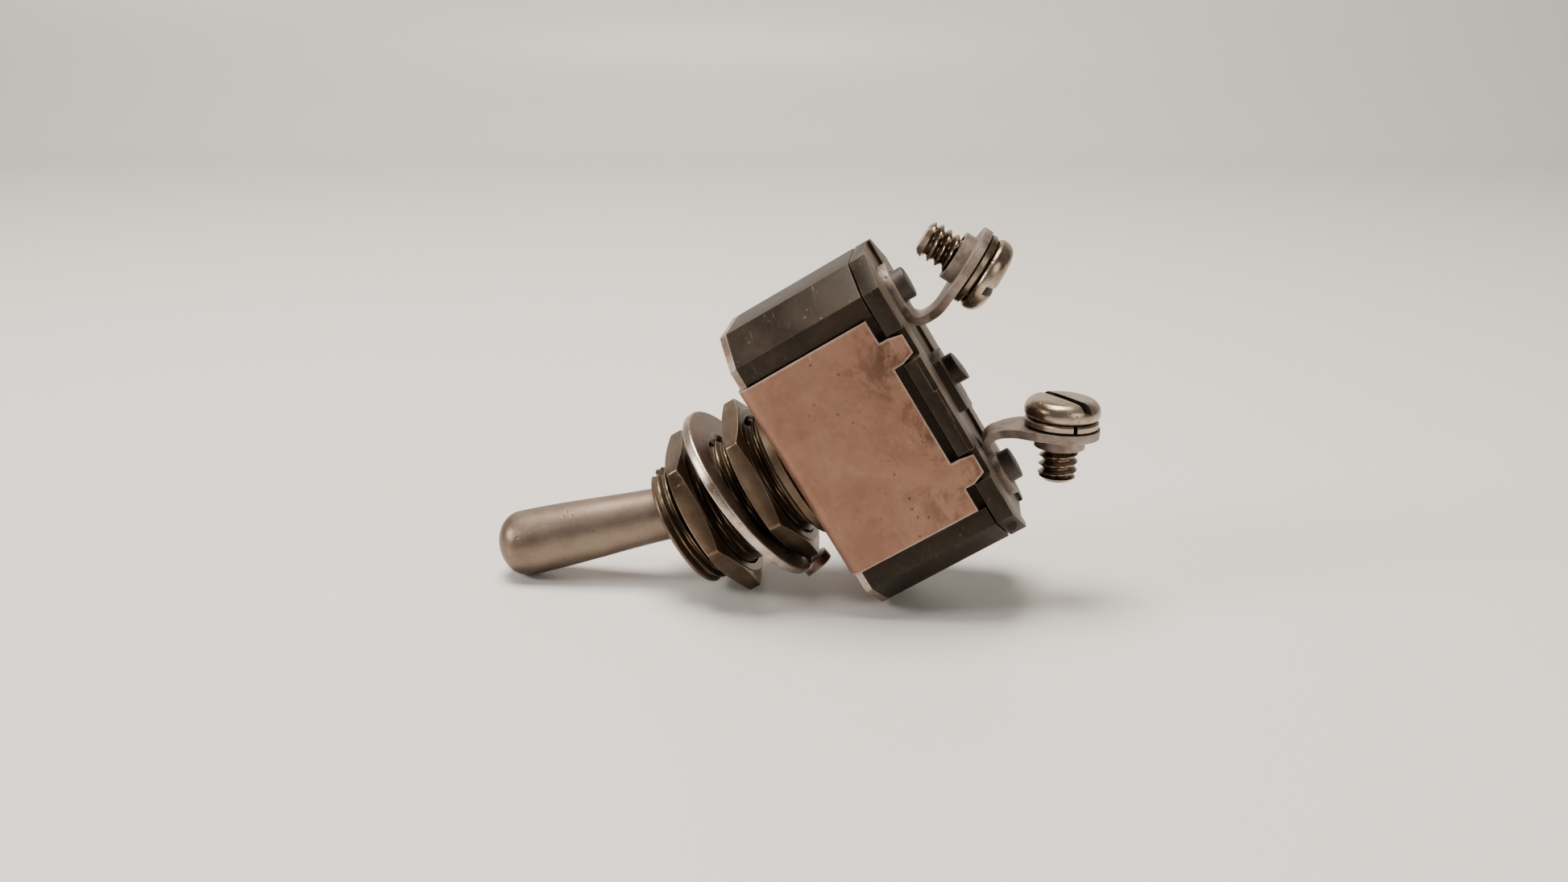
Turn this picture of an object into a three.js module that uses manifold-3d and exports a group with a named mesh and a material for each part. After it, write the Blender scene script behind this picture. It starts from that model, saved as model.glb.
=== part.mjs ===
// Bushing-mounted bat-lever toggle switch, single pole, two screw terminals.
// Millimetres. +Z runs along the bushing towards the lever tip, X is the long axis of the case and
// the direction in which the lever throws. The origin is on the bushing axis at the shoulder's top.
import * as THREE from 'three';
import { mergeVertices } from 'three/addons/utils/BufferGeometryUtils.js';
import Module from 'manifold-3d';

// ---- driving dimensions ----
const GAP = 0.15;
const ROUND_SIDES = 48;
const SMALL_SIDES = 32;

const CASE = { halfLength: 14.2, halfWidth: 7.75, chamferX: 2.6, chamferY: 3.4, top: -2.2, bottom: -14.65 };
const CAVITY = { halfLength: 12.3, halfWidth: 5.6, top: -3.5 };
const CASE_HOLE_RADIUS = 6.45;
const SIDE_RECESS_Y = 6.85;

const SHEET = 0.95;
const FRAME = { top: -1.1, halfWidth: 8.1, sideHalf: 9.67, sideBottom: -14.0, holeRadius: 6.0 };
const FRAME_END = { top: -1.55, bottom: -2.15 };
const TAB = {
  inner: 4.85, outer: 7.4, tipInner: 5.2, tipOuter: 7.05, overlap: 0.3, straight: 0.6, reach: 1.9, bend: 20,
};

const GASKET = { top: -14.68, thickness: 0.12, inset: 0.1, halfWidth: 6.5, opening: { x: 11.9, y: 5.3 } };
const BASE = { top: -14.83, rim: -16.4, floor: -16.05, channelHalf: 3.3, notchDepth: 1.5 };
const PAD = { halfLength: 2.55, halfWidth: 2.6, bottom: -17.05 };
const MIDDLE_POST = { x: 0.72, radius: 1.42, shortEnd: -17.9, longEnd: -18.4 };

const BUSHING = { radius: 5.95, end: 11.9, rim: 0.7, mouth: 4.75, throat: 3.62, bottom: -2.9, bottomBore: 5.15 };
const SHOULDER_RADIUS = 7.0;
const NECK_RADIUS = 5.85;
const STAKE_RADIUS = 6.3;
const KEYWAY = { width: 1.7, depth: 0.9 };

const PIVOT_Z = 6.25;
const REST_TILT = 17;
const PIVOT_PIN = { radius: 0.8, half: 4.8, hole: 0.87 };
const LEVER = { ball: 3.4, stem: 1.95, stemEnd: -9, bore: 1.35, boreTop: -2.2 };
const BAT = { neck: 2.5, neckEnd: 6.5, middle: 2.85, middleZ: 13, radius: 3.15, radiusZ: 18, dome: 2.3, tip: 23.3 };
const PLUNGER = { radius: 1.25, top: -5.6, noseCentre: -11 };
const SPRING = { mean: 0.98, wire: 0.2, top: -2.45, bottom: -5.35, turns: 5 };

const ROCKER = { pivotZ: -9.5, tilt: 10.5, armHalf: 7.2, halfWidth: 2.5, armTop: 0.5, armBottom: -0.9 };
const SADDLE = { half: 3.9, top: 5.0, arcRadius: 4.4, arcCentre: 7.75 };
const ROCKER_PIN = { radius: 0.7, half: 4.1, hole: 0.77 };
const CONTACT = { x: 5.8, radius: 1.2, movingHeight: 1.0, fixedTop: -12.85 };
const STOP_TOP = -11.85;

const STRIP = { top: -14.0, thickness: 0.8, halfWidth: 2.7, end: 11.6 };
const EAR = { inner: 2.9, outer: 3.6, half: 1.7, top: -8.1 };
const RIVET = { x: 9.65, radius: 1.5, hole: 1.62, head: 2.2, headTop: -13.1, end: -18.0 };

const TERMINAL = { thickness: 0.78, footHalf: 2.7, neckHalf: 1.95, footEnd: 12.1, footTop: -16.15 };
const LUG = { eyeRadius: 3.5, hole: 1.92, collar: 2.3, collarHeight: 1.1 };
const SIDES = [
  { name: 'left', sign: 1, bendX: 7.35, bendRadius: 1.2, firstLean: -3.5, curve: 2.2, straight: 3.87, lean: 27.5 },
  { name: 'right', sign: -1, bendX: 7.2, bendRadius: 1.0, firstLean: 8, curve: 2.5, straight: 3.55, lean: 33.5 },
];
const SCREW = { radius: 1.75, head: 3.45, headHeight: 1.85, threadPast: 3.1, endChamfer: 0.5 };
const SLOT = { width: 0.9, depth: 0.95, left: 103, right: 128 };
const SPLIT_WASHER = { inner: 1.95, outer: 3.35, thickness: 0.78, split: 0.3, splitTurn: 108, play: 0.03 };

const NUT = { acrossFlats: 14.29, thickness: 1.95, bore: 6.08, faceRadius: 6.9, chamfer: 18 };
const REAR_NUT = { z: 1.38, turn: 13.2 };
const FRONT_NUT = { z: 7.53, turn: 17.9 };
const RING = { radius: 9.05, bore: 6.25, thickness: 0.92, z: 4.32, tilt: 8, tongue: 1.4, tongueTip: 5.35 };
const RING_TAB = { root: 7.2, x: 8.7, thickness: 0.9, halfWidth: 1.5, reach: 1.6 };

const COLOURS = {
  steel: { color: 0xa07c6c, roughness: 0.5, metalness: 0.7 },
  phenolic: { color: 0x1a1614, roughness: 0.45, metalness: 0.0 },
  nickel: { color: 0x8f877e, roughness: 0.4, metalness: 0.9 },
  tinned: { color: 0x9b948c, roughness: 0.55, metalness: 0.8 },
  brass: { color: 0xb08d4c, roughness: 0.4, metalness: 0.9 },
  silver: { color: 0xd8d8d4, roughness: 0.3, metalness: 1.0 },
  black_rivet: { color: 0x241d19, roughness: 0.5, metalness: 0.4 },
  fibre: { color: 0x6b4a35, roughness: 0.8, metalness: 0.0 },
};

const wasm = await Module();
wasm.setup();
const part = new THREE.Group();
const radians = THREE.MathUtils.degToRad;

// ---- solids ----
function solidOf(geometry) {
  const bare = geometry.clone();
  bare.deleteAttribute('normal');
  bare.deleteAttribute('uv');
  const merged = mergeVertices(bare, 1e-4);
  const vertProperties = new Float32Array(merged.attributes.position.array);
  const triVerts = new Uint32Array(merged.index.array);
  return new wasm.Manifold(new wasm.Mesh({ numProp: 3, vertProperties, triVerts }));
}

function geometryOf(solid) {
  const mesh = solid.getMesh();
  const geometry = new THREE.BufferGeometry();
  geometry.setAttribute('position', new THREE.BufferAttribute(mesh.vertProperties, 3));
  geometry.setIndex(new THREE.BufferAttribute(mesh.triVerts, 1));
  return geometry.toNonIndexed();
}

function subtract(geometry, ...cutters) {
  return geometryOf(cutters.reduce((solid, cutter) => solid.subtract(solidOf(cutter)), solidOf(geometry)));
}

function join(geometry, ...others) {
  return geometryOf(others.reduce((solid, other) => solid.add(solidOf(other)), solidOf(geometry)));
}

function intersect(geometry, other) {
  return geometryOf(solidOf(geometry).intersect(solidOf(other)));
}

function add(name, geometry, look) {
  geometry.computeVertexNormals();
  const mesh = new THREE.Mesh(geometry, new THREE.MeshStandardMaterial(COLOURS[look]));
  mesh.name = name;
  part.add(mesh);
  return mesh;
}

// A box given by its low and high corners.
function block(x0, x1, y0, y1, z0, z1) {
  const box = new THREE.BoxGeometry(x1 - x0, y1 - y0, z1 - z0);
  return box.translate((x0 + x1) / 2, (y0 + y1) / 2, (z0 + z1) / 2);
}

// A cylinder along Z between two heights.
function rod(radius, z0, z1, sides = SMALL_SIDES) {
  const cylinder = new THREE.CylinderGeometry(radius, radius, z1 - z0, sides);
  return cylinder.rotateX(Math.PI / 2).translate(0, 0, (z0 + z1) / 2);
}

// A solid of revolution about Z from [radius, height] points.
function turned(points, sides = ROUND_SIDES) {
  const profile = points.map(([radius, z]) => new THREE.Vector2(radius, z));
  return new THREE.LatheGeometry(profile, sides).rotateX(Math.PI / 2);
}

// A ring about Z: the profile closes on itself.
function ring(inner, outer, z0, z1, sides = ROUND_SIDES) {
  return turned([[inner, z0], [outer, z0], [outer, z1], [inner, z1], [inner, z0]], sides);
}

// An outline in the XY plane, extruded from z0 to z1.
function prism(points, z0, z1) {
  const shape = new THREE.Shape(points.map(([x, y]) => new THREE.Vector2(x, y)));
  const geometry = new THREE.ExtrudeGeometry(shape, { depth: z1 - z0, bevelEnabled: false });
  return geometry.translate(0, 0, z0);
}

// An outline in the XZ plane, extruded along Y to both sides.
function slab(points, halfWidth) {
  const shape = new THREE.Shape(points.map(([x, z]) => new THREE.Vector2(x, z)));
  const geometry = new THREE.ExtrudeGeometry(shape, { depth: 2 * halfWidth, bevelEnabled: false });
  return geometry.translate(0, 0, -halfWidth).rotateX(Math.PI / 2);
}

// The plan outline of the case: a rectangle with its four corners cut off.
function plan(halfLength, halfWidth) {
  const ridge = halfLength - CASE.chamferX;
  const end = halfWidth - CASE.chamferY;
  return [
    [halfLength, -end], [halfLength, end], [ridge, halfWidth], [-ridge, halfWidth],
    [-halfLength, end], [-halfLength, -end], [-ridge, -halfWidth], [ridge, -halfWidth],
  ];
}

// ---- the case and what closes it ----
function makeCase() {
  const body = prism(plan(CASE.halfLength, CASE.halfWidth), CASE.bottom, CASE.top);
  const cavity = block(
    -CAVITY.halfLength, CAVITY.halfLength, -CAVITY.halfWidth, CAVITY.halfWidth, CASE.bottom - 1, CAVITY.top,
  );
  const hole = rod(CASE_HOLE_RADIUS, CAVITY.top - 1, CASE.top + 1, ROUND_SIDES);
  const recessHalf = FRAME.sideHalf + GAP;
  const recesses = [-1, 1].map((side) => {
    const near = side * SIDE_RECESS_Y;
    const far = side * (CASE.halfWidth + 1);
    return block(-recessHalf, recessHalf, Math.min(near, far), Math.max(near, far), CASE.bottom - 1, CASE.top + 1);
  });
  add('case', subtract(body, cavity, hole, ...recesses), 'phenolic');
}

function makeGasket() {
  const outline = plan(CASE.halfLength - GASKET.inset, GASKET.halfWidth);
  const sheet = prism(outline, GASKET.top - GASKET.thickness, GASKET.top);
  const { x, y } = GASKET.opening;
  const opening = block(-x, x, -y, y, GASKET.top - 1, GASKET.top + 1);
  add('insulator_sheet', subtract(sheet, opening), 'fibre');
}

function makeBase() {
  const flange = prism(plan(CASE.halfLength, CASE.halfWidth), BASE.rim, BASE.top);
  const pad = block(-PAD.halfLength, PAD.halfLength, -PAD.halfWidth, PAD.halfWidth, PAD.bottom, BASE.top - 0.1);
  const channel = block(
    -CASE.halfLength - 1, CASE.halfLength + 1, -BASE.channelHalf, BASE.channelHalf, BASE.rim - 1, BASE.floor,
  );
  const holes = [-1, 1].map((side) => rod(RIVET.hole, BASE.rim - 1, BASE.top + 1).translate(side * RIVET.x, 0, 0));
  const notches = [];
  for (const sideX of [-1, 1]) {
    for (const sideY of [-1, 1]) {
      const x0 = Math.min(sideX * (TAB.inner - GAP), sideX * (TAB.outer + GAP));
      const x1 = Math.max(sideX * (TAB.inner - GAP), sideX * (TAB.outer + GAP));
      const y0 = Math.min(sideY * (CASE.halfWidth - BASE.notchDepth), sideY * (CASE.halfWidth + 1));
      const y1 = Math.max(sideY * (CASE.halfWidth - BASE.notchDepth), sideY * (CASE.halfWidth + 1));
      notches.push(block(x0, x1, y0, y1, BASE.rim - 1, BASE.top + 1));
    }
  }
  const reach = MIDDLE_POST.radius + 1;
  const outline = [
    [-reach, PAD.bottom + 0.5], [-reach, MIDDLE_POST.longEnd],
    [reach, MIDDLE_POST.shortEnd], [reach, PAD.bottom + 0.5],
  ];
  const slantedEnd = slab(outline, reach);
  const upright = rod(MIDDLE_POST.radius, MIDDLE_POST.longEnd - 1, PAD.bottom + 0.3);
  const post = intersect(upright, slantedEnd).translate(MIDDLE_POST.x, 0, 0);
  add('base', join(subtract(flange, channel, ...holes, ...notches), pad, post), 'phenolic');
}

// ---- the sheet-steel frame that clamps case and base together ----
function makeTab(sideX, sideY) {
  const y = FRAME.halfWidth - SHEET;
  const root = [
    [TAB.inner, FRAME.sideBottom + TAB.overlap], [TAB.inner, FRAME.sideBottom - TAB.straight],
    [TAB.tipInner, FRAME.sideBottom - TAB.reach], [TAB.tipOuter, FRAME.sideBottom - TAB.reach],
    [TAB.outer, FRAME.sideBottom - TAB.straight], [TAB.outer, FRAME.sideBottom + TAB.overlap],
  ];
  const tab = slab(root, SHEET / 2).translate(0, -(y + SHEET / 2), 0);
  const bend = new THREE.Matrix4()
    .makeTranslation(0, -y, FRAME.sideBottom)
    .multiply(new THREE.Matrix4().makeRotationX(radians(TAB.bend)))
    .multiply(new THREE.Matrix4().makeTranslation(0, y, -FRAME.sideBottom));
  tab.applyMatrix4(bend);
  if (sideY > 0) tab.rotateZ(Math.PI);
  const atPositiveX = sideY > 0 ? -1 : 1;
  if (sideX !== atPositiveX) tab.translate(-atPositiveX * (TAB.inner + TAB.outer), 0, 0);
  return tab;
}

function makeFrame() {
  const topPlate = prism(plan(CASE.halfLength, CASE.halfWidth), FRAME_END.bottom, FRAME_END.top);
  const half = FRAME.sideHalf;
  const width = FRAME.halfWidth;
  const bridge = block(-half, half, -width, width, FRAME.top - SHEET, FRAME.top);
  const sides = [-1, 1].map((side) => {
    const inner = side * (width - SHEET);
    const y0 = Math.min(inner, side * width);
    const y1 = Math.max(inner, side * width);
    return block(-half, half, y0, y1, FRAME.sideBottom, FRAME.top - SHEET / 2);
  });
  const tabs = [-1, 1].flatMap((sideX) => [-1, 1].map((sideY) => makeTab(sideX, sideY)));
  const channel = join(topPlate, bridge, ...sides, ...tabs);
  const hole = rod(FRAME.holeRadius, FRAME.top - SHEET - 1, FRAME.top + 1, ROUND_SIDES);
  add('frame', subtract(channel, hole), 'steel');
}

// ---- the threaded bushing and its loose hardware ----
function makeBushing() {
  const { radius, end, rim, mouth, throat, bottom, bottomBore } = BUSHING;
  const below = FRAME.top - SHEET - GAP;
  const above = FRAME.top + 0.1;
  const outline = [
    [bottomBore, bottom], [STAKE_RADIUS, bottom], [STAKE_RADIUS, below], [NECK_RADIUS, below],
    [NECK_RADIUS, above], [SHOULDER_RADIUS, above], [SHOULDER_RADIUS, 0], [radius, 0],
    [radius, end - rim], [radius - rim * 0.15, end - rim * 0.4], [radius - rim * 0.55, end],
    [mouth, end], [throat, PIVOT_Z + 1.4], [throat, PIVOT_Z - 1.3], [bottomBore, bottom],
  ];
  const shell = turned(outline);
  const keyway = block(radius - KEYWAY.depth, radius + 1, -KEYWAY.width / 2, KEYWAY.width / 2, 0.3, end + 1);
  const pinHole = rod(PIVOT_PIN.hole, -radius, radius).rotateX(Math.PI / 2).translate(0, 0, PIVOT_Z);
  const pinSpace = intersect(pinHole, block(-2, 2, -PIVOT_PIN.half - GAP, PIVOT_PIN.half + GAP, 0, end));
  add('bushing', subtract(shell, keyway, pinSpace), 'nickel');
  const pin = rod(PIVOT_PIN.radius, -PIVOT_PIN.half, PIVOT_PIN.half).rotateX(Math.PI / 2);
  add('pivot_pin', pin.translate(0, 0, PIVOT_Z), 'nickel');
}

function makeNut(name, place) {
  const corner = NUT.acrossFlats / 2 / Math.cos(Math.PI / 6);
  const hex = new THREE.CylinderGeometry(corner, corner, NUT.thickness, 6);
  hex.rotateX(Math.PI / 2).rotateZ(Math.PI / 2).translate(0, 0, NUT.thickness / 2);
  const chamfer = (corner - NUT.faceRadius) * Math.tan(radians(NUT.chamfer));
  const outer = corner + 0.01;
  const round = turned([
    [0, 0], [NUT.faceRadius, 0], [outer, chamfer], [outer, NUT.thickness - chamfer],
    [NUT.faceRadius, NUT.thickness], [0, NUT.thickness],
  ]);
  const bore = rod(NUT.bore, -1, NUT.thickness + 1, ROUND_SIDES);
  const nut = subtract(intersect(hex, round), bore);
  add(name, nut.rotateZ(radians(place.turn)).translate(0, 0, place.z), 'nickel');
}

function makeLockingRing() {
  const disc = ring(RING.bore, RING.radius, 0, RING.thickness);
  const tongue = block(RING.tongueTip, RING.bore + 0.6, -RING.tongue / 2, RING.tongue / 2, 0, RING.thickness);
  const { root, x, thickness, halfWidth, reach } = RING_TAB;
  const arm = block(-x - thickness, -root, -halfWidth, halfWidth, 0, RING.thickness);
  const flap = block(-x - thickness, -x, -halfWidth, halfWidth, halfWidth - reach, RING.thickness);
  const roundEnd = new THREE.CylinderGeometry(halfWidth, halfWidth, thickness, SMALL_SIDES);
  roundEnd.rotateZ(Math.PI / 2).translate(-x - thickness / 2, 0, halfWidth - reach);
  const whole = join(disc, tongue, arm, flap, roundEnd);
  whole.rotateY(radians(-RING.tilt)).translate(0, 0, RING.z);
  add('locking_ring', whole, 'nickel');
}

// ---- the lever and what it drives ----
function placeOnLever(geometry) {
  return geometry.rotateY(radians(REST_TILT)).translate(0, 0, PIVOT_Z);
}

function makeLever() {
  const { ball, stem, stemEnd, bore, boreTop } = LEVER;
  const { neck, radius, dome, tip } = BAT;
  const outline = [[bore, stemEnd], [stem, stemEnd]];
  const low = -Math.acos(stem / ball);
  const high = Math.acos(neck / ball);
  const ballSteps = 12;
  for (let i = 0; i <= ballSteps; i += 1) {
    const angle = low + ((high - low) * i) / ballSteps;
    outline.push([ball * Math.cos(angle), ball * Math.sin(angle)]);
  }
  outline.push([neck, BAT.neckEnd], [BAT.middle, BAT.middleZ], [radius, BAT.radiusZ]);
  const domeSteps = 8;
  for (let i = 0; i < domeSteps; i += 1) {
    const angle = (i * Math.PI) / 2 / domeSteps;
    outline.push([radius * Math.cos(angle), tip - dome + dome * Math.sin(angle)]);
  }
  outline.push([0, tip], [0, boreTop], [bore, boreTop], [bore, stemEnd]);
  const body = turned(outline, SMALL_SIDES);
  const pinHole = rod(PIVOT_PIN.hole, -ball - 1, ball + 1).rotateX(Math.PI / 2);
  add('lever', placeOnLever(subtract(body, pinHole)), 'nickel');
}

function makePlunger() {
  const outline = [[0, PLUNGER.noseCentre - PLUNGER.radius]];
  const noseSteps = 6;
  for (let i = 1; i <= noseSteps; i += 1) {
    const angle = (i * Math.PI) / 2 / noseSteps;
    outline.push([PLUNGER.radius * Math.sin(angle), PLUNGER.noseCentre - PLUNGER.radius * Math.cos(angle)]);
  }
  outline.push([PLUNGER.radius, PLUNGER.top], [0, PLUNGER.top]);
  add('plunger', placeOnLever(turned(outline, SMALL_SIDES)), 'fibre');
}

class Helix extends THREE.Curve {
  getPoint(t) {
    const angle = t * SPRING.turns * 2 * Math.PI;
    const z = SPRING.top + (SPRING.bottom - SPRING.top) * t;
    return new THREE.Vector3(SPRING.mean * Math.cos(angle), SPRING.mean * Math.sin(angle), z);
  }
}

function makeSpring() {
  const wire = new THREE.Shape();
  wire.absarc(0, 0, SPRING.wire, 0, 2 * Math.PI);
  const options = { steps: 70, curveSegments: 3, bevelEnabled: false, extrudePath: new Helix() };
  add('plunger_spring', placeOnLever(new THREE.ExtrudeGeometry(wire, options)), 'nickel');
}

function placeOnRocker(geometry) {
  return geometry.rotateY(radians(-ROCKER.tilt)).translate(0, 0, ROCKER.pivotZ);
}

function makeRocker() {
  const { armHalf, armTop, armBottom, halfWidth } = ROCKER;
  const outline = [[-armHalf, armBottom], [armHalf, armBottom], [armHalf, armTop], [SADDLE.half, armTop]];
  outline.push([SADDLE.half, SADDLE.top]);
  const edge = Math.acos((SADDLE.arcCentre - SADDLE.top) / SADDLE.arcRadius);
  const arcSteps = 16;
  for (let i = 0; i <= arcSteps; i += 1) {
    const angle = edge - (2 * edge * i) / arcSteps;
    outline.push([SADDLE.arcRadius * Math.sin(angle), SADDLE.arcCentre - SADDLE.arcRadius * Math.cos(angle)]);
  }
  outline.push([-SADDLE.half, SADDLE.top], [-SADDLE.half, armTop], [-armHalf, armTop]);
  const hub = rod(1.5, -halfWidth, halfWidth).rotateX(Math.PI / 2);
  const hole = rod(ROCKER_PIN.hole, -halfWidth - 1, halfWidth + 1).rotateX(Math.PI / 2);
  add('rocker', placeOnRocker(subtract(join(slab(outline, halfWidth), hub), hole)), 'brass');
  const top = armBottom - 0.05;
  const button = rod(CONTACT.radius, top - CONTACT.movingHeight, top).translate(-CONTACT.x, 0, 0);
  add('moving_contact', placeOnRocker(button), 'silver');
}

// ---- the fixed conductors inside ----
function makeFulcrum() {
  const bottom = STRIP.top - STRIP.thickness;
  const strip = block(-EAR.half, STRIP.end, -STRIP.halfWidth, STRIP.halfWidth, bottom, STRIP.top);
  const foot = block(-EAR.half, EAR.half, -EAR.outer, EAR.outer, bottom, STRIP.top);
  const ears = [block(-EAR.half, EAR.half, EAR.inner, EAR.outer, bottom, EAR.top)];
  ears.push(block(-EAR.half, EAR.half, -EAR.outer, -EAR.inner, bottom, EAR.top));
  const pinHole = rod(ROCKER_PIN.hole, -EAR.outer - 1, EAR.outer + 1).rotateX(Math.PI / 2);
  const rivetHole = rod(RIVET.hole, bottom - 1, STRIP.top + 1).translate(RIVET.x, 0, 0);
  const body = join(strip, foot, ...ears);
  add('fulcrum_bracket', subtract(body, pinHole.translate(0, 0, ROCKER.pivotZ), rivetHole), 'brass');
  const pin = rod(ROCKER_PIN.radius, -ROCKER_PIN.half, ROCKER_PIN.half).rotateX(Math.PI / 2);
  add('rocker_pin', pin.translate(0, 0, ROCKER.pivotZ), 'nickel');
  const stop = block(CONTACT.x - 1.2, CONTACT.x + 1.2, -2, 2, STRIP.top + 0.1, STOP_TOP);
  add('stop_pad', stop, 'fibre');
}

function makeContactStrip() {
  const bottom = STRIP.top - STRIP.thickness;
  const strip = block(-STRIP.end, -CONTACT.x + 1.5, -STRIP.halfWidth, STRIP.halfWidth, bottom, STRIP.top);
  const rivetHole = rod(RIVET.hole, bottom - 1, STRIP.top + 1).translate(-RIVET.x, 0, 0);
  add('contact_strip', subtract(strip, rivetHole), 'brass');
  const button = rod(CONTACT.radius, STRIP.top + 0.1, CONTACT.fixedTop).translate(-CONTACT.x, 0, 0);
  add('fixed_contact', button, 'silver');
}

// ---- what shows on the terminal side, one set at each end ----
function makeRivet(side) {
  const underHead = STRIP.top + 0.1;
  const outline = [
    [0, RIVET.end], [RIVET.radius, RIVET.end], [RIVET.radius, underHead], [RIVET.head, underHead],
    [RIVET.head, RIVET.headTop], [0, RIVET.headTop],
  ];
  const rivet = turned(outline, SMALL_SIDES).translate(side.sign * RIVET.x, 0, 0);
  add(`terminal_rivet_${side.name}`, rivet, 'black_rivet');
}

// Points along the middle of a terminal strip, from inside the foot to the eye's centre, for +X.
function terminalPath(side) {
  const { bendX, bendRadius, firstLean, curve, straight, lean } = side;
  const middle = TERMINAL.footTop - TERMINAL.thickness / 2;
  const points = [[bendX + 1.2, middle], [bendX + 0.4, middle]];
  const bendSteps = 8;
  for (let i = 0; i <= bendSteps; i += 1) {
    const turn = radians(((90 + firstLean) * i) / bendSteps);
    points.push([bendX - bendRadius * Math.sin(turn), middle - bendRadius * (1 - Math.cos(turn))]);
  }
  const curveSteps = 5;
  for (let i = 0; i < curveSteps; i += 1) {
    const heading = radians(firstLean + ((lean - firstLean) * (i + 0.5)) / curveSteps);
    const [x, z] = points[points.length - 1];
    const step = curve / curveSteps;
    points.push([x + step * Math.sin(heading), z - step * Math.cos(heading)]);
  }
  const [x, z] = points[points.length - 1];
  for (const along of [0.04, straight]) {
    points.push([x + along * Math.sin(radians(lean)), z - along * Math.cos(radians(lean))]);
  }
  return points;
}

// The strip's side outline: its middle line moved half a thickness to each side.
function thicken(path, thickness) {
  const directions = path.map((point, i) => {
    const before = path[Math.max(i - 1, 0)];
    const after = path[Math.min(i + 1, path.length - 1)];
    const length = Math.hypot(after[0] - before[0], after[1] - before[1]);
    return [(after[0] - before[0]) / length, (after[1] - before[1]) / length];
  });
  const offset = (sign) => path.map(([x, z], i) => [
    x - (sign * directions[i][1] * thickness) / 2, z + (sign * directions[i][0] * thickness) / 2,
  ]);
  return offset(1).concat(offset(-1).reverse());
}

// Puts a solid drawn about the eye's hole (Z along the hole, towards the screw head) on its lug.
function placeOnLug(geometry, side) {
  const path = terminalPath(side);
  const [x, z] = path[path.length - 1];
  geometry.rotateY(radians(-90 - side.lean)).translate(x, 0, z);
  if (side.sign < 0) geometry.rotateZ(Math.PI);
  return geometry;
}

function makeTerminal(side) {
  const { thickness, footHalf, neckHalf, footEnd, footTop } = TERMINAL;
  const neck = slab(thicken(terminalPath(side), thickness), neckHalf);
  const foot = block(side.bendX + 0.5, footEnd, -footHalf, footHalf, footTop - thickness, footTop);
  const strip = join(neck, foot);
  if (side.sign < 0) strip.rotateZ(Math.PI);
  const half = thickness / 2;
  const eye = placeOnLug(rod(LUG.eyeRadius, -half, half), side);
  const collar = placeOnLug(rod(LUG.collar, -half - LUG.collarHeight, 0), side);
  const hole = placeOnLug(rod(LUG.hole, -half - LUG.collarHeight - 1, half + 1), side);
  const rivetHole = rod(RIVET.hole, footTop - 2, footTop + 1).translate(side.sign * RIVET.x, 0, 0);
  add(`terminal_${side.name}`, subtract(join(strip, eye, collar), hole, rivetHole), 'tinned');
}

function makeSplitWasher(side) {
  const { inner, outer, thickness, split, splitTurn, play } = SPLIT_WASHER;
  const z = TERMINAL.thickness / 2 + play;
  const cut = block(inner - 1, outer + 1, -split / 2, split / 2, z - 1, z + 2);
  cut.rotateZ(radians(splitTurn));
  const washer = subtract(ring(inner, outer, z, z + thickness, SMALL_SIDES), cut);
  add(`split_washer_${side.name}`, placeOnLug(washer, side), 'nickel');
}

function makeScrew(side) {
  const under = TERMINAL.thickness / 2 + SPLIT_WASHER.thickness + 2 * SPLIT_WASHER.play;
  const top = under + SCREW.headHeight;
  const tip = -TERMINAL.thickness / 2 - LUG.collarHeight - SCREW.threadPast;
  const { radius, head, endChamfer } = SCREW;
  const outline = [
    [0, tip], [radius - endChamfer, tip], [radius, tip + endChamfer], [radius, under],
    [head - 0.35, under], [head - 0.06, under + 0.35], [head, under + 0.75], [head - 0.18, under + 1.2],
    [head - 0.65, top - 0.3], [head - 1.5, top - 0.08], [head - 2.5, top], [0, top],
  ];
  const slot = block(-head - 1, head + 1, -SLOT.width / 2, SLOT.width / 2, top - SLOT.depth, top + 1);
  slot.rotateZ(radians(SLOT[side.name]));
  const screw = subtract(turned(outline, SMALL_SIDES), slot);
  add(`terminal_screw_${side.name}`, placeOnLug(screw, side), 'nickel');
}

makeCase();
makeGasket();
makeBase();
makeFrame();
makeBushing();
makeNut('rear_nut', REAR_NUT);
makeNut('front_nut', FRONT_NUT);
makeLockingRing();
makeLever();
makePlunger();
makeSpring();
makeRocker();
makeFulcrum();
makeContactStrip();
for (const side of SIDES) {
  makeRivet(side);
  makeTerminal(side);
  makeSplitWasher(side);
  makeScrew(side);
}

export default part;
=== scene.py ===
import math

import bmesh
import bpy
import numpy as np
from mathutils import Matrix, Vector, noise


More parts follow.
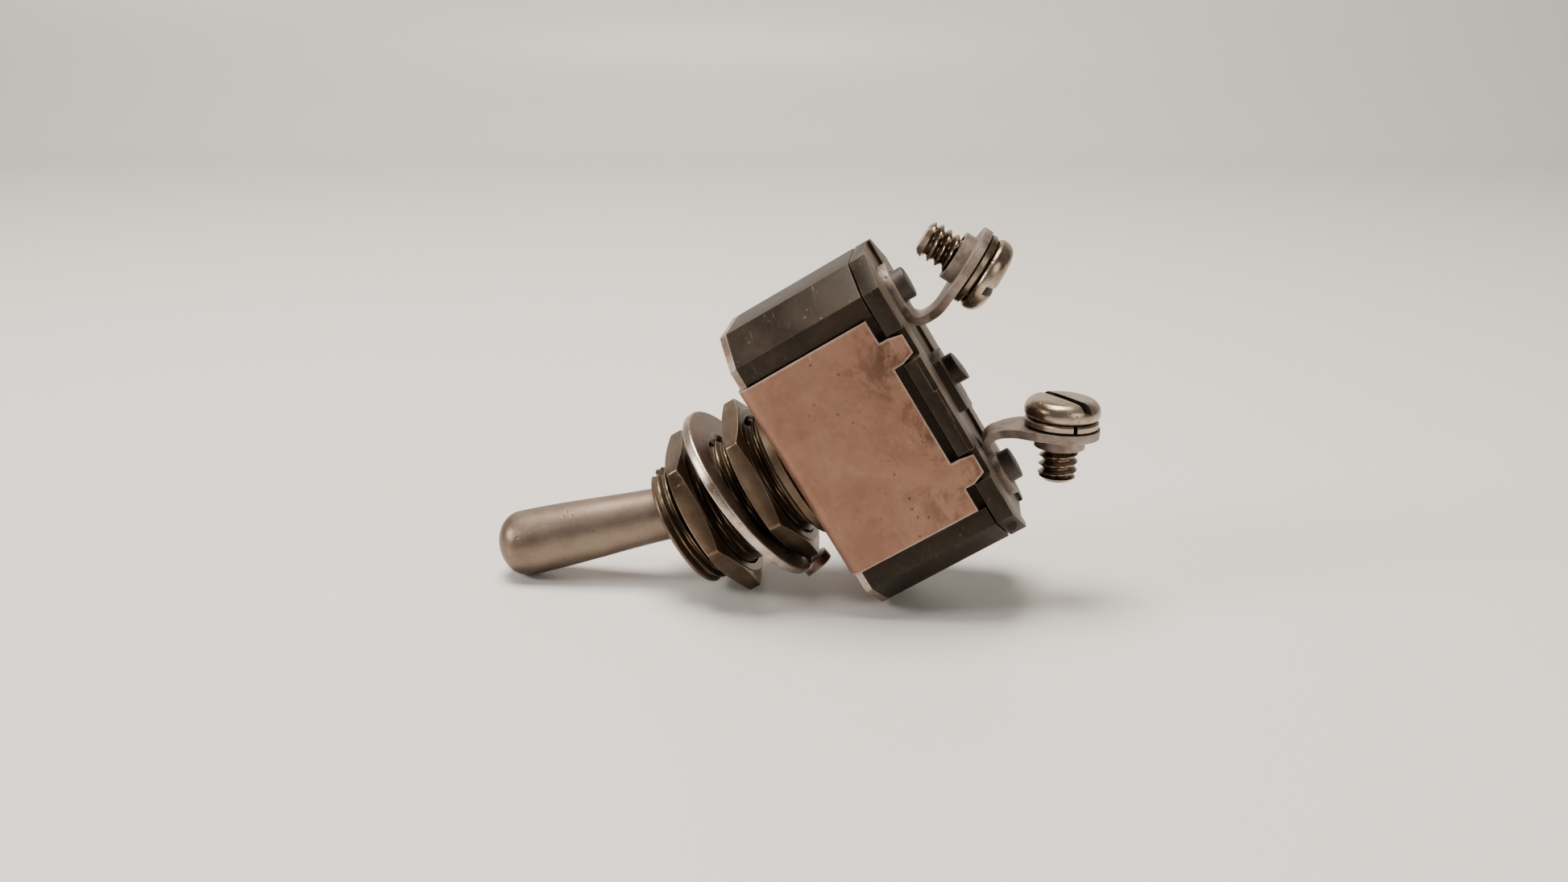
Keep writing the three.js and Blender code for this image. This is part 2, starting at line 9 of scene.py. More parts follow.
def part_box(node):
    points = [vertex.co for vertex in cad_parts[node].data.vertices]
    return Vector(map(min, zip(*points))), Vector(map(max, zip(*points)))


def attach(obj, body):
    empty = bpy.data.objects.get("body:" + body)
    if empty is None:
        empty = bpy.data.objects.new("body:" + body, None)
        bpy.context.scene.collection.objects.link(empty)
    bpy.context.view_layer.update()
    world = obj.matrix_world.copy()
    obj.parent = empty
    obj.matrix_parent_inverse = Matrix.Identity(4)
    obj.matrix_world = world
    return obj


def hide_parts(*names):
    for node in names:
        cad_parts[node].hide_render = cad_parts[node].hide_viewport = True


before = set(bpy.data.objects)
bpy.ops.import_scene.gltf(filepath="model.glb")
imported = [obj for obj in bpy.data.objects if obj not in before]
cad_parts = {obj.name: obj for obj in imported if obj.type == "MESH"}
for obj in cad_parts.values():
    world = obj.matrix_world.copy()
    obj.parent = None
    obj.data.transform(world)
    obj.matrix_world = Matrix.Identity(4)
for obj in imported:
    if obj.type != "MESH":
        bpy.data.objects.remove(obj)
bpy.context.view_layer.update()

# ---------------------------------------------------------------------------------------------
# Bench top, light and camera. The switch lies on its side, on its lever's tip, a nut's corner and
# the case's end, so the bench top is a plane tilted to touch those three.
# ---------------------------------------------------------------------------------------------
MM = 0.001
BENCH_UP = Vector((0.8529, 0.0, -0.5221)).normalized()
VIEW_UP = Vector((0.8352, 0.2776, -0.4748)).normalized()
VIEW_BACK = Vector((0.1874, -0.9552, -0.2289)).normalized()
CAMERA_PLACE = Vector((29.75, -138.87, -33.86)) * MM
LENS = 36.2


def lowest_along(direction):
    """How far the lowest point of all the CAD solids lies along a direction."""
    lowest = []
    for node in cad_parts.values():
        flat = np.zeros(len(node.data.vertices) * 3)
        node.data.vertices.foreach_get("co", flat)
        lowest.append((flat.reshape(-1, 3) @ np.array(direction)).min())
    return float(min(lowest))


def mesh_piece(name, points, faces):
    """A new object from points in metres and faces."""
    mesh = bpy.data.meshes.new(name)
    mesh.from_pydata([tuple(p) for p in points], [], faces)
    mesh.validate()
    piece = bpy.data.objects.new(name, mesh)
    bpy.context.scene.collection.objects.link(piece)
    return piece


def new_material(name):
    """An empty node material with its shader and output, and the shader and node tree."""
    made = bpy.data.materials.new(name)
    made.use_nodes = True
    tree = made.node_tree
    return made, tree, tree.nodes["Principled BSDF"]


def add_node(tree, kind, **settings):
    """One shader node. A setting whose name is a socket's is that socket's value."""
    node = tree.nodes.new(kind)
    for key, value in settings.items():
        if hasattr(node, key):
            setattr(node, key, value)
        else:
            node.inputs[key.replace("_", " ")].default_value = value
    return node


bench_level = lowest_along(BENCH_UP)
away = -VIEW_BACK
away = (away - away.dot(BENCH_UP) * BENCH_UP).normalized()
across = away.cross(BENCH_UP)


def bench_point(side, far, up):
    return BENCH_UP * (bench_level + up) + across * side + away * far


BENCH_NEAR, BENCH_FAR, BENCH_HALF, SWEEP, WALL = -0.45, 0.36, 0.9, 0.06, 0.7
profile = [(BENCH_NEAR, 0.0), (BENCH_FAR, 0.0)]
for i in range(1, 13):
    turn = i / 12 * math.pi / 2
    profile.append((BENCH_FAR + SWEEP * math.sin(turn), SWEEP * (1 - math.cos(turn))))
profile.append((BENCH_FAR + SWEEP, WALL))
bench_points = [bench_point(side, far, up) for far, up in profile for side in (-BENCH_HALF, BENCH_HALF)]
bench_faces = [(2 * i, 2 * i + 1, 2 * i + 3, 2 * i + 2) for i in range(len(profile) - 1)]
bench = mesh_piece("bench_top", bench_points, bench_faces)
bench.data.shade_smooth()
if bench.data.polygons[0].normal.dot(BENCH_UP) < 0:
    bench.data.flip_normals()

bench_paint, tree, shader = new_material("pale_bench_paint")
shader.inputs["Base Color"].default_value = (0.76, 0.74, 0.71, 1)
shader.inputs["Roughness"].default_value = 0.38
shader.inputs["Specular IOR Level"].default_value = 0.4
orange_peel = add_node(tree, "ShaderNodeTexNoise", Scale=260, Detail=2)
place = add_node(tree, "ShaderNodeTexCoord")
tree.links.new(place.outputs["Object"], orange_peel.inputs["Vector"])
bump = add_node(tree, "ShaderNodeBump", Strength=0.05, Distance=0.0004)
tree.links.new(orange_peel.outputs["Fac"], bump.inputs["Height"])
tree.links.new(bump.outputs["Normal"], shader.inputs["Normal"])
# Seen from below, the bench top lets the eye through, so that the switch shows from every side.
clear = add_node(tree, "ShaderNodeBsdfTransparent")
either = add_node(tree, "ShaderNodeMixShader")
back_side = add_node(tree, "ShaderNodeNewGeometry")
ray = add_node(tree, "ShaderNodeLightPath")
both = add_node(tree, "ShaderNodeMath", operation="MULTIPLY")
tree.links.new(back_side.outputs["Backfacing"], both.inputs[0])
tree.links.new(ray.outputs["Is Camera Ray"], both.inputs[1])
tree.links.new(both.outputs["Value"], either.inputs["Fac"])
tree.links.new(shader.outputs["BSDF"], either.inputs[1])
tree.links.new(clear.outputs["BSDF"], either.inputs[2])
tree.links.new(either.outputs["Shader"], tree.nodes["Material Output"].inputs["Surface"])
bench.data.materials.append(bench_paint)

room = bpy.data.worlds.new("soft_room")
bpy.context.scene.world = room
room.use_nodes = True
room.node_tree.nodes["Background"].inputs["Color"].default_value = (0.92, 0.88, 0.83, 1)
room.node_tree.nodes["Background"].inputs["Strength"].default_value = 0.13

target = BENCH_UP * (bench_level + 0.018) + across * 0.004
for name, side, far, up, size, watts, tint in (
    ("ceiling_light", -0.05, 0.05, 0.42, 0.26, 4.0, (1.0, 0.93, 0.84)),
    ("window_light", -0.42, -0.12, 0.22, 0.16, 1.5, (1.0, 0.96, 0.91)),
    ("fill_light", 0.30, -0.38, 0.20, 0.30, 0.6, (1.0, 0.92, 0.83)),
):
    lamp = bpy.data.lights.new(name, "AREA")
    lamp.shape = "DISK"
    lamp.size = size
    lamp.energy = watts
    lamp.color = tint
    holder = bpy.data.objects.new(name, lamp)
    bpy.context.scene.collection.objects.link(holder)
    holder.location = target + across * side + away * far + BENCH_UP * up
    holder.rotation_mode = "QUATERNION"
    holder.rotation_quaternion = (target - holder.location).to_track_quat("-Z", "Y")

view_right = VIEW_UP.cross(VIEW_BACK)
camera = bpy.data.objects.new("camera", bpy.data.cameras.new("camera"))
bpy.context.scene.collection.objects.link(camera)
camera.data.lens = LENS
camera.data.sensor_width = 36
camera.data.clip_start = 0.005
camera.matrix_world = Matrix.Translation(CAMERA_PLACE) @ Matrix(
    (
        (view_right.x, VIEW_UP.x, VIEW_BACK.x, 0),
        (view_right.y, VIEW_UP.y, VIEW_BACK.y, 0),
        (view_right.z, VIEW_UP.z, VIEW_BACK.z, 0),
        (0, 0, 0, 1),
    )
)
bpy.context.scene.camera = camera

# ---------------------------------------------------------------------------------------------
# Frame. One stamping of plated sheet steel folded into a channel over the case. Its top plate has
# the case's outline, and four tabs at its lower edge are crimped into the base's notches.
# ---------------------------------------------------------------------------------------------
SHEET = 0.95 * MM
FRAME_BEND = 0.85 * MM
FLANGE_TOP, FLANGE_BOTTOM = -1.55 * MM, -2.15 * MM
PLATE_HALF = Vector((14.2, 7.75, 0)) * MM
PLATE_CORNER = Vector((2.6, 3.4, 0)) * MM
FRAME_SIDE_HALF, FRAME_SIDE_BOTTOM = 9.67 * MM, -14.0 * MM
FRAME_HOLE_R = 6.0 * MM
TAB_ROOT = (4.85 * MM, 7.4 * MM)
TAB_TIP = (5.2 * MM, 7.05 * MM)
TAB_REACH = 1.95 * MM
TAB_LEAN = math.radians(20)
TAB_WAIST_IN, TAB_WAIST_DOWN = 0.1 * MM, 0.75 * MM


def baked(piece, *modifiers):
    """Adds modifiers given as (kind, settings), then writes their result into the mesh."""
    for kind, settings in modifiers:
        modifier = piece.modifiers.new(kind.lower(), kind)
        for key, value in settings.items():
            setattr(modifier, key, value)
    bpy.context.view_layer.update()
    shaped = bpy.data.meshes.new_from_object(piece.evaluated_get(bpy.context.evaluated_depsgraph_get()))
    shaped.name = piece.name
    piece.modifiers.clear()
    old = piece.data
    piece.data = shaped
    bpy.data.meshes.remove(old)
    return piece


def cut(piece, *cutters, operation="DIFFERENCE"):
    """Cuts each cutter out of a piece, or joins it on, and removes the cutter."""
    for cutter in cutters:
        baked(piece, ("BOOLEAN", {"operation": operation, "object": cutter, "solver": "EXACT"}))
        bpy.data.objects.remove(cutter)
    return piece


def facing_out(piece):
    """Makes every face of a closed mesh look outwards."""
    work = bmesh.new()
    work.from_mesh(piece.data)
    bmesh.ops.remove_doubles(work, verts=work.verts, dist=1e-7)
    bmesh.ops.recalc_face_normals(work, faces=work.faces)
    work.to_mesh(piece.data)
    work.free()
    return piece


def round_bar(name, radius, low, high, sides=64):
    """A plain cylinder along Z, used as a cutter or a blank."""
    points = [
        Vector((radius * math.cos(2 * math.pi * i / sides), radius * math.sin(2 * math.pi * i / sides), z))
        for z in (low, high)
        for i in range(sides)
    ]
    faces = [(i, (i + 1) % sides, sides + (i + 1) % sides, sides + i) for i in range(sides)]
    faces += [tuple(range(sides - 1, -1, -1)), tuple(range(sides, 2 * sides))]
    return mesh_piece(name, points, faces)


def prism(name, outline, low, high):
    """An outline in the XY plane given thickness."""
    count = len(outline)
    points = [Vector((x, y, z)) for z in (low, high) for x, y in outline]
    faces = [(i, (i + 1) % count, count + (i + 1) % count, count + i) for i in range(count)]
    faces += [tuple(range(count - 1, -1, -1)), tuple(range(count, 2 * count))]
    return facing_out(mesh_piece(name, points, faces))


def fitted(piece, material, body, slot, *nodes, sharp=32):
    """Gives a finished piece its material, shading and body, and hides the CAD nodes it stands for. The slot is not
    used.
    """
    piece.data.materials.clear()
    piece.data.materials.append(material)
    piece.data.shade_smooth()
    piece.data.set_sharp_from_angle(angle=math.radians(sharp))
    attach(piece, body)
    if nodes:
        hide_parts(*nodes)
    return piece


def ramped(tree, value, low, high, start, end):
    """A value scaled so that low..high becomes start..end, and held there beyond."""
    scaled = add_node(tree, "ShaderNodeMapRange", From_Min=low, From_Max=high, To_Min=start, To_Max=end)
    tree.links.new(value, scaled.inputs["Value"])
    return scaled.outputs["Result"]


def near_edge(tree, width):
    """A mask that is 0 on flats and rises to 1 within a width of a corner."""
    rounded = add_node(tree, "ShaderNodeBevel", samples=4, Radius=width)
    flat = add_node(tree, "ShaderNodeNewGeometry")
    match = add_node(tree, "ShaderNodeVectorMath", operation="DOT_PRODUCT")
    tree.links.new(rounded.outputs["Normal"], match.inputs[0])
    tree.links.new(flat.outputs["Normal"], match.inputs[1])
    return ramped(tree, match.outputs["Value"], 0.985, 0.86, 0.0, 1.0)


def product(tree, *factors):
    """Several masks or numbers multiplied together."""
    result = factors[0]
    for factor in factors[1:]:
        times = add_node(tree, "ShaderNodeMath", operation="MULTIPLY")
        tree.links.new(result, times.inputs[0])
        if isinstance(factor, (int, float)):
            times.inputs[1].default_value = factor
        else:
            tree.links.new(factor, times.inputs[1])
        result = times.outputs["Value"]
    return result


def washed(tree, under, colour, amount):
    """One colour laid over another by a mask."""
    layer = add_node(tree, "ShaderNodeMix", data_type="RGBA")
    layer.inputs["B"].default_value = (*colour, 1)
    tree.links.new(amount, layer.inputs["Factor"])
    tree.links.new(under, layer.inputs["A"])
    return layer.outputs["Result"]


def hairlines(tree, vector, scale, stretch, tilt, width=0.006):
    """Fine long scratches: thin contour lines of a stretched noise, broken up by a second one."""
    lay = add_node(tree, "ShaderNodeMapping")
    lay.inputs["Rotation"].default_value = tilt
    lay.inputs["Scale"].default_value = stretch
    tree.links.new(vector, lay.inputs["Vector"])
    waves = add_node(tree, "ShaderNodeTexNoise", Scale=scale, Detail=1)
    gaps = add_node(tree, "ShaderNodeTexNoise", Scale=scale * 0.7, Detail=2)
    tree.links.new(lay.outputs["Vector"], waves.inputs["Vector"])
    tree.links.new(vector, gaps.inputs["Vector"])
    offset = add_node(tree, "ShaderNodeMath", operation="SUBTRACT")
    offset.inputs[1].default_value = 0.5
    tree.links.new(waves.outputs["Fac"], offset.inputs[0])
    size = add_node(tree, "ShaderNodeMath", operation="ABSOLUTE")
    tree.links.new(offset.outputs["Value"], size.inputs[0])
    line = ramped(tree, size.outputs["Value"], 0.0, width, 1.0, 0.0)
    some = ramped(tree, gaps.outputs["Fac"], 0.5, 0.6, 0.0, 1.0)
    return product(tree, line, some)


def worn_metal(
    name, bright, dull, grime_and_hollow_shade_colour, rough, metallic=0.9, blotch=160, grain=2600, dent=0.00004, shade_and_dust_in_hollows=0.5,
    bare=None, rubbed=0.7, edge=0.00016, pitting=0.6, scratched=0.3, stains=None,
):
    """Plated metal: two tones in soft blotches, grime and painted shade in hollows, bare edges, hairline scratches
    and pits.
    """
    made, tree, shader = new_material(name)
    link = tree.links.new
    bare = bare or tuple(min(1, c * 1.6) for c in bright)
    place = add_node(tree, "ShaderNodeTexCoord").outputs["Object"]
    blotches = add_node(tree, "ShaderNodeTexNoise", Scale=blotch, Detail=6, Roughness=0.65)
    grains = add_node(tree, "ShaderNodeTexNoise", Scale=grain, Detail=3, Roughness=0.6)
    pits = add_node(tree, "ShaderNodeTexVoronoi", Scale=grain * 0.42)
    for texture in (blotches, grains, pits):
        link(place, texture.inputs["Vector"])
    tones = add_node(tree, "ShaderNodeValToRGB")
    tones.color_ramp.elements[0].position = 0.36
    tones.color_ramp.elements[0].color = (*dull, 1)
    tones.color_ramp.elements[1].position = 0.64
    tones.color_ramp.elements[1].color = (*bright, 1)
    link(blotches.outputs["Fac"], tones.inputs["Fac"])
    colour = tones.outputs["Color"]
    if stains:
        cloud = add_node(tree, "ShaderNodeTexNoise", Scale=stains["scale"], Detail=8, Roughness=0.7, Distortion=0.4)
        link(place, cloud.inputs["Vector"])
        patch = ramped(tree, cloud.outputs["Fac"], 0.47, 0.60, 0.0, 0.9)
        height = add_node(tree, "ShaderNodeSeparateXYZ")
        link(place, height.inputs["Vector"])
        low, high = stains["heights"]
        below = ramped(tree, height.outputs["Z"], low, high, 1.0, stains["above"])
        amount = product(tree, patch, below)
        colour = washed(tree, colour, stains["colour"], amount)
    # Painted shade: ambient occlusion washes hollows and the gaps between parts with the grime colour, which darkens
    # them unless that colour is the lighter one.
    hollow = add_node(tree, "ShaderNodeAmbientOcclusion", samples=4, Distance=0.0022)
    shade = ramped(tree, hollow.outputs["AO"], 0.35, 0.85, shade_and_dust_in_hollows, 0.0)
    ragged = add_node(tree, "ShaderNodeMath", operation="MULTIPLY_ADD")
    ragged.inputs[1].default_value = 0.5
    link(grains.outputs["Fac"], ragged.inputs[0])
    link(pits.outputs["Distance"], ragged.inputs[2])
    speck = ramped(tree, ragged.outputs["Value"], 0.30, 0.38, pitting, 0.0)
    thick = ramped(tree, blotches.outputs["Fac"], 0.42, 0.62, 0.1, 1.0)
    hollow_shade_and_specks = add_node(tree, "ShaderNodeMath", operation="MAXIMUM")
    link(shade, hollow_shade_and_specks.inputs[0])
    link(product(tree, speck, thick), hollow_shade_and_specks.inputs[1])
    colour = washed(tree, colour, grime_and_hollow_shade_colour, hollow_shade_and_specks.outputs["Value"])
    open_edge = ramped(tree, blotches.outputs["Fac"], 0.35, 0.62, 0.2, rubbed)
    worn = product(tree, near_edge(tree, edge), open_edge)
    colour = washed(tree, colour, bare, worn)
    lines = hairlines(tree, place, blotch * 2.2, (1.0, 0.6, 9.0), (0.4, 0.9, 0.3))
    colour = washed(tree, colour, bare, product(tree, lines, scratched))
    link(colour, shader.inputs["Base Color"])
    gloss = ramped(tree, blotches.outputs["Fac"], 0.0, 1.0, rough - 0.12, rough + 0.18)
    link(gloss, shader.inputs["Roughness"])
    shader.inputs["Metallic"].default_value = metallic
    pitted = add_node(tree, "ShaderNodeMath", operation="SUBTRACT")
    link(grains.outputs["Fac"], pitted.inputs[0])
    link(product(tree, speck, 1.5), pitted.inputs[1])
    bump = add_node(tree, "ShaderNodeBump", Strength=0.35, Distance=dent)
    link(pitted.outputs["Value"], bump.inputs["Height"])
    link(bump.outputs["Normal"], shader.inputs["Normal"])
    return made


def frame_middle():
    """The frame's middle surface, half a sheet inside its outer face: points and faces."""
    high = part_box("frame")[1]
    top = high.z - SHEET / 2
    side_y = high.y - SHEET / 2
    bend_y = side_y - FRAME_BEND
    hem = FRAME_SIDE_BOTTOM
    half = FRAME_SIDE_HALF
    points, faces, known = [], [], {}

    def at(x, y, z):
        key = (round(x * 1e7), round(y * 1e7), round(z * 1e7))
        if key not in known:
            known[key] = len(points)
            points.append(Vector((x, y, z)))
        return known[key]

    stops = [-half, -TAB_ROOT[1], -TAB_ROOT[0], TAB_ROOT[0], TAB_ROOT[1], half]
    faces.append([at(x, -bend_y, top) for x in stops] + [at(x, bend_y, top) for x in reversed(stops)])
    for side in (-1, 1):
        rows = []
        for i in range(9):
            turn = i / 8 * math.pi / 2
            y = side * (bend_y + FRAME_BEND * math.sin(turn))
            rows.append((y, top - FRAME_BEND * (1 - math.cos(turn))))
        rows.append((side * side_y, hem))
        for (y0, z0), (y1, z1) in zip(rows, rows[1:]):
            for a, b in zip(stops, stops[1:]):
                faces.append([at(a, y0, z0), at(b, y0, z0), at(b, y1, z1), at(a, y1, z1)])
        tip_y = side * (side_y - TAB_REACH * math.sin(TAB_LEAN))
        tip_z = hem - TAB_REACH * math.cos(TAB_LEAN)
        for end in (-1, 1):
            root = [at(end * x, side * side_y, hem) for x in TAB_ROOT]
            waist = [at(end * x, side * (side_y - TAB_WAIST_IN), hem - TAB_WAIST_DOWN) for x in TAB_ROOT]
            tip = [at(end * x, tip_y, tip_z) for x in reversed(TAB_TIP)]
            faces.append(root + waist[::-1])
            faces.append(waist + tip)
    return points, faces


channel = facing_out(mesh_piece("frame_channel", *frame_middle()))
baked(channel, ("SOLIDIFY", {"thickness": SHEET, "offset": 0.0, "use_even_offset": True}))
facing_out(channel)
flange_outline = [
    (FRAME_SIDE_HALF - 0.6 * MM, 7.1 * MM), (FRAME_SIDE_HALF, PLATE_HALF.y),
    (PLATE_HALF.x - PLATE_CORNER.x, PLATE_HALF.y), (PLATE_HALF.x, PLATE_HALF.y - PLATE_CORNER.y),
]
flange_outline += [(x, -y) for x, y in reversed(flange_outline)]
for end in (-1, 1):
    flange = prism("flange", [(end * x, y) for x, y in flange_outline], FLANGE_BOTTOM, FLANGE_TOP)
    cut(channel, flange, operation="UNION")
cut(channel, round_bar("bushing_hole", FRAME_HOLE_R, -4 * MM, MM))
baked(channel, ("BEVEL", {
    "width": 0.1 * MM, "segments": 2, "limit_method": "ANGLE", "angle_limit": math.radians(40),
}))
frame_steel = worn_metal(
    "mottled_plated_steel", (0.32, 0.17, 0.115), (0.225, 0.11, 0.072), (0.05, 0.024, 0.013),
    rough=0.42, metallic=0.6, blotch=210, grain=2200, shade_and_dust_in_hollows=0.75, bare=(0.58, 0.50, 0.43), rubbed=1.0, edge=0.00034,
    pitting=0.85,
    stains={"scale": 230, "heights": (-0.0135, -0.0085), "above": 0.22, "colour": (0.085, 0.038, 0.022)},
)
fitted(channel, frame_steel, "housing", "steel", "frame", sharp=15)
cut_edge = worn_metal(
    "bare_cut_edge", (0.46, 0.38, 0.32), (0.26, 0.18, 0.13), (0.06, 0.035, 0.022), rough=0.36, blotch=420, shade_and_dust_in_hollows=0.5,
)
channel.data.materials.append(cut_edge)
# The sheared edges of the two end flanges and of the tabs have lost their plating.
for face in channel.data.polygons:
    at_end = abs(face.center.x) > FRAME_SIDE_HALF + 0.1 * MM and abs(face.normal.z) < 0.5
    on_tip = face.center.z < FRAME_SIDE_BOTTOM - 0.9 * MM and abs(face.normal.y) < 0.8
    if at_end or on_tip:
        face.material_index = 1

# ---------------------------------------------------------------------------------------------
# Case. A deep cup moulded in black phenolic, open below, with its four corners cut off. A shallow
# seat on each broad side takes the frame's plate, and a round hole in its top takes the bushing.
# ---------------------------------------------------------------------------------------------
CASE_EDGE = 0.11 * MM
SEAT_Y = 6.85 * MM


def plan_outline(length, width, seat=None):
    """The case's plan: a rectangle with cut corners and, where asked, a seat along each side."""
    ridge, shoulder = length - PLATE_CORNER.x, width - PLATE_CORNER.y
    quarter = [(length, shoulder), (ridge, width)]
    if seat:
        seat_half = FRAME_SIDE_HALF + 0.15 * MM
        quarter += [(seat_half, width), (seat_half, seat)]
    upper = quarter + [(-x, y) for x, y in reversed(quarter)]
    return upper + [(-x, -y) for x, y in upper]


def brick(name, low, high):
    """A box between two corners, used as a cutter or a blank."""
    outline = [(low[0], low[1]), (high[0], low[1]), (high[0], high[1]), (low[0], high[1])]
    return prism(name, outline, low[2], high[2])


def moulded_phenolic(name, dust_below=0.0):
    """Black moulded resin: a faint mould skin, brown dust, greyed edges, scuffs and hairlines."""
    made, tree, shader = new_material(name)
    link = tree.links.new
    coordinates = add_node(tree, "ShaderNodeTexCoord")
    place = coordinates.outputs["Object"]
    skin = add_node(tree, "ShaderNodeTexNoise", Scale=1500, Detail=4, Roughness=0.6)
    film = add_node(tree, "ShaderNodeTexNoise", Scale=170, Detail=8, Roughness=0.72, Distortion=0.6)
    chips = add_node(tree, "ShaderNodeTexVoronoi", Scale=800)
    for texture in (skin, film, chips):
        link(place, texture.inputs["Vector"])
    tones = add_node(tree, "ShaderNodeValToRGB")
    tones.color_ramp.elements[0].position = 0.42
    tones.color_ramp.elements[0].color = (0.010, 0.0066, 0.0042, 1)
    tones.color_ramp.elements[1].position = 0.72
    tones.color_ramp.elements[1].color = (0.034, 0.023, 0.0145, 1)
    link(film.outputs["Fac"], tones.inputs["Fac"])
    colour = tones.outputs["Color"]
    if dust_below:
        facing = add_node(tree, "ShaderNodeSeparateXYZ")
        link(coordinates.outputs["Normal"], facing.inputs["Vector"])
        below = ramped(tree, facing.outputs["Z"], -0.3, -0.9, 0.0, dust_below)
        thick = ramped(tree, film.outputs["Fac"], 0.3, 0.6, 0.35, 1.0)
        colour = washed(
            tree, colour, (0.13, 0.095, 0.066), product(tree, below, thick),
        )
    hollow = add_node(tree, "ShaderNodeAmbientOcclusion", samples=4, Distance=0.0016)
    dust = ramped(tree, hollow.outputs["AO"], 0.3, 0.8, 0.5, 0.0)
    colour = washed(tree, colour, (0.040, 0.024, 0.014), dust)
    patchy = ramped(tree, film.outputs["Fac"], 0.40, 0.60, 0.08, 0.9)
    rubbed = product(tree, near_edge(tree, 0.00012), patchy)
    colour = washed(tree, colour, (0.26, 0.20, 0.155), rubbed)
    chipped = ramped(tree, chips.outputs["Distance"], 0.06, 0.12, 0.5, 0.0)
    chipped = product(tree, chipped, patchy)
    colour = washed(tree, colour, (0.20, 0.15, 0.11), chipped)
    lines = hairlines(tree, place, 300, (1.0, 1.0, 7.0), (0.3, 1.2, 0.4))
    colour = washed(tree, colour, (0.16, 0.12, 0.09), product(tree, lines, 0.5))
    link(colour, shader.inputs["Base Color"])
    gloss = ramped(tree, film.outputs["Fac"], 0.0, 1.0, 0.30, 0.60)
    link(gloss, shader.inputs["Roughness"])
    shader.inputs["Specular IOR Level"].default_value = 0.24
    shader.inputs["Specular Tint"].default_value = (1.0, 0.88, 0.76, 1)
    bump = add_node(tree, "ShaderNodeBump", Strength=0.25, Distance=0.00003)
    link(skin.outputs["Fac"], bump.inputs["Height"])
    link(bump.outputs["Normal"], shader.inputs["Normal"])
    return made


def edge_softener(width, angle=30, segments=3):
    """The settings of a small bevel on every edge sharper than an angle."""
    return ("BEVEL", {
        "width": width, "segments": segments, "limit_method": "ANGLE",
        "angle_limit": math.radians(angle), "use_clamp_overlap": True,
    })


phenolic = moulded_phenolic("black_phenolic")
case_low, case_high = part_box("case")
cup = prism("case_cup", plan_outline(case_high.x, case_high.y, SEAT_Y), case_low.z, case_high.z)
cut(
    cup,
    brick("cavity", (-12.3 * MM, -5.6 * MM, case_low.z - MM), (12.3 * MM, 5.6 * MM, -3.5 * MM)),
    round_bar("top_hole", 6.45 * MM, -5 * MM, 0),
)
baked(cup, edge_softener(CASE_EDGE))
fitted(cup, phenolic, "housing", "phenolic", "case")

# ---------------------------------------------------------------------------------------------
# Base. A thick phenolic plate that closes the case. It has four notches for the frame's tabs, a
# shallow channel for the terminals' feet, a raised pad with a post on it, and two rivet holes.
# ---------------------------------------------------------------------------------------------
base_low, base_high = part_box("base")
RIM_Z, CHANNEL_Z, PAD_Z = -16.4 * MM, -16.05 * MM, -17.05 * MM
NOTCH = (4.7 * MM, 7.55 * MM)
NOTCH_FLOOR_Y = 6.25 * MM
CHANNEL_HALF, PAD_HALF_X, PAD_HALF_Y = 3.3 * MM, 2.55 * MM, 2.6 * MM
RIVET_X, RIVET_HOLE_R = 9.65 * MM, 1.62 * MM
POST_X, POST_R = 0.72 * MM, 1.42 * MM
POST_SLANT = 0.40 * MM
# Chips out of the lower edge between two notches: from x, to x, how far in, how far up (mm).
BROKEN_EDGE = ((-4.65, -1.7, 0.30, 0.42), (-1.7, 1.4, 0.18, 0.26), (1.4, 4.65, 0.36, 0.5))
base = prism("base_plate", plan_outline(base_high.x, base_high.y), RIM_Z, base_high.z)
cutters = [brick("channel", (-20 * MM, -CHANNEL_HALF, RIM_Z - MM), (20 * MM, CHANNEL_HALF, CHANNEL_Z))]
for end in (-1, 1):
    cutters.append(round_bar("rivet_hole", RIVET_HOLE_R, RIM_Z - MM, 0, sides=40))
    cutters[-1].data.transform(Matrix.Translation((end * RIVET_X, 0, 0)))
    for side in (-1, 1):
        x = sorted((end * NOTCH[0], end * NOTCH[1]))
        y = sorted((side * NOTCH_FLOOR_Y, side * 20 * MM))
        cutters.append(brick("notch", (x[0], y[0], RIM_Z - MM), (x[1], y[1], 0)))
for start, end, in_y, up_z in BROKEN_EDGE:
    cutters.append(brick(
        "chip", (start * MM, -9 * MM, RIM_Z - MM), (end * MM, -base_high.y + in_y * MM, RIM_Z + up_z * MM),
    ))
cut(base, *cutters)
pad = brick("pad", (-PAD_HALF_X, -PAD_HALF_Y, PAD_Z), (PAD_HALF_X, PAD_HALF_Y, base_high.z - 0.3 * MM))
cut(base, pad, operation="UNION")
post = round_bar("post", POST_R, base_low.z, PAD_Z + 0.3 * MM)
for corner in post.data.vertices:
    if corner.co.z < PAD_Z:
        corner.co.z += (corner.co.x / (2 * POST_R) + 0.5) * POST_SLANT
    corner.co.x += POST_X
cut(base, post, operation="UNION")
nub = round_bar("gate_nub", 0.45 * MM, -0.32 * MM, 0.5 * MM, sides=20)
nub.data.transform(
    Matrix.Translation((-12.9 * MM, -6.05 * MM, -15.6 * MM)) @ Matrix.Rotation(math.radians(-90), 4, "X")
)
baked(base, edge_softener(0.1 * MM))
dusty_phenolic = moulded_phenolic("dusty_phenolic", dust_below=0.75)
fitted(base, dusty_phenolic, "housing", "phenolic", "base")
baked(nub, edge_softener(0.1 * MM))
fitted(nub, phenolic, "housing", "phenolic")

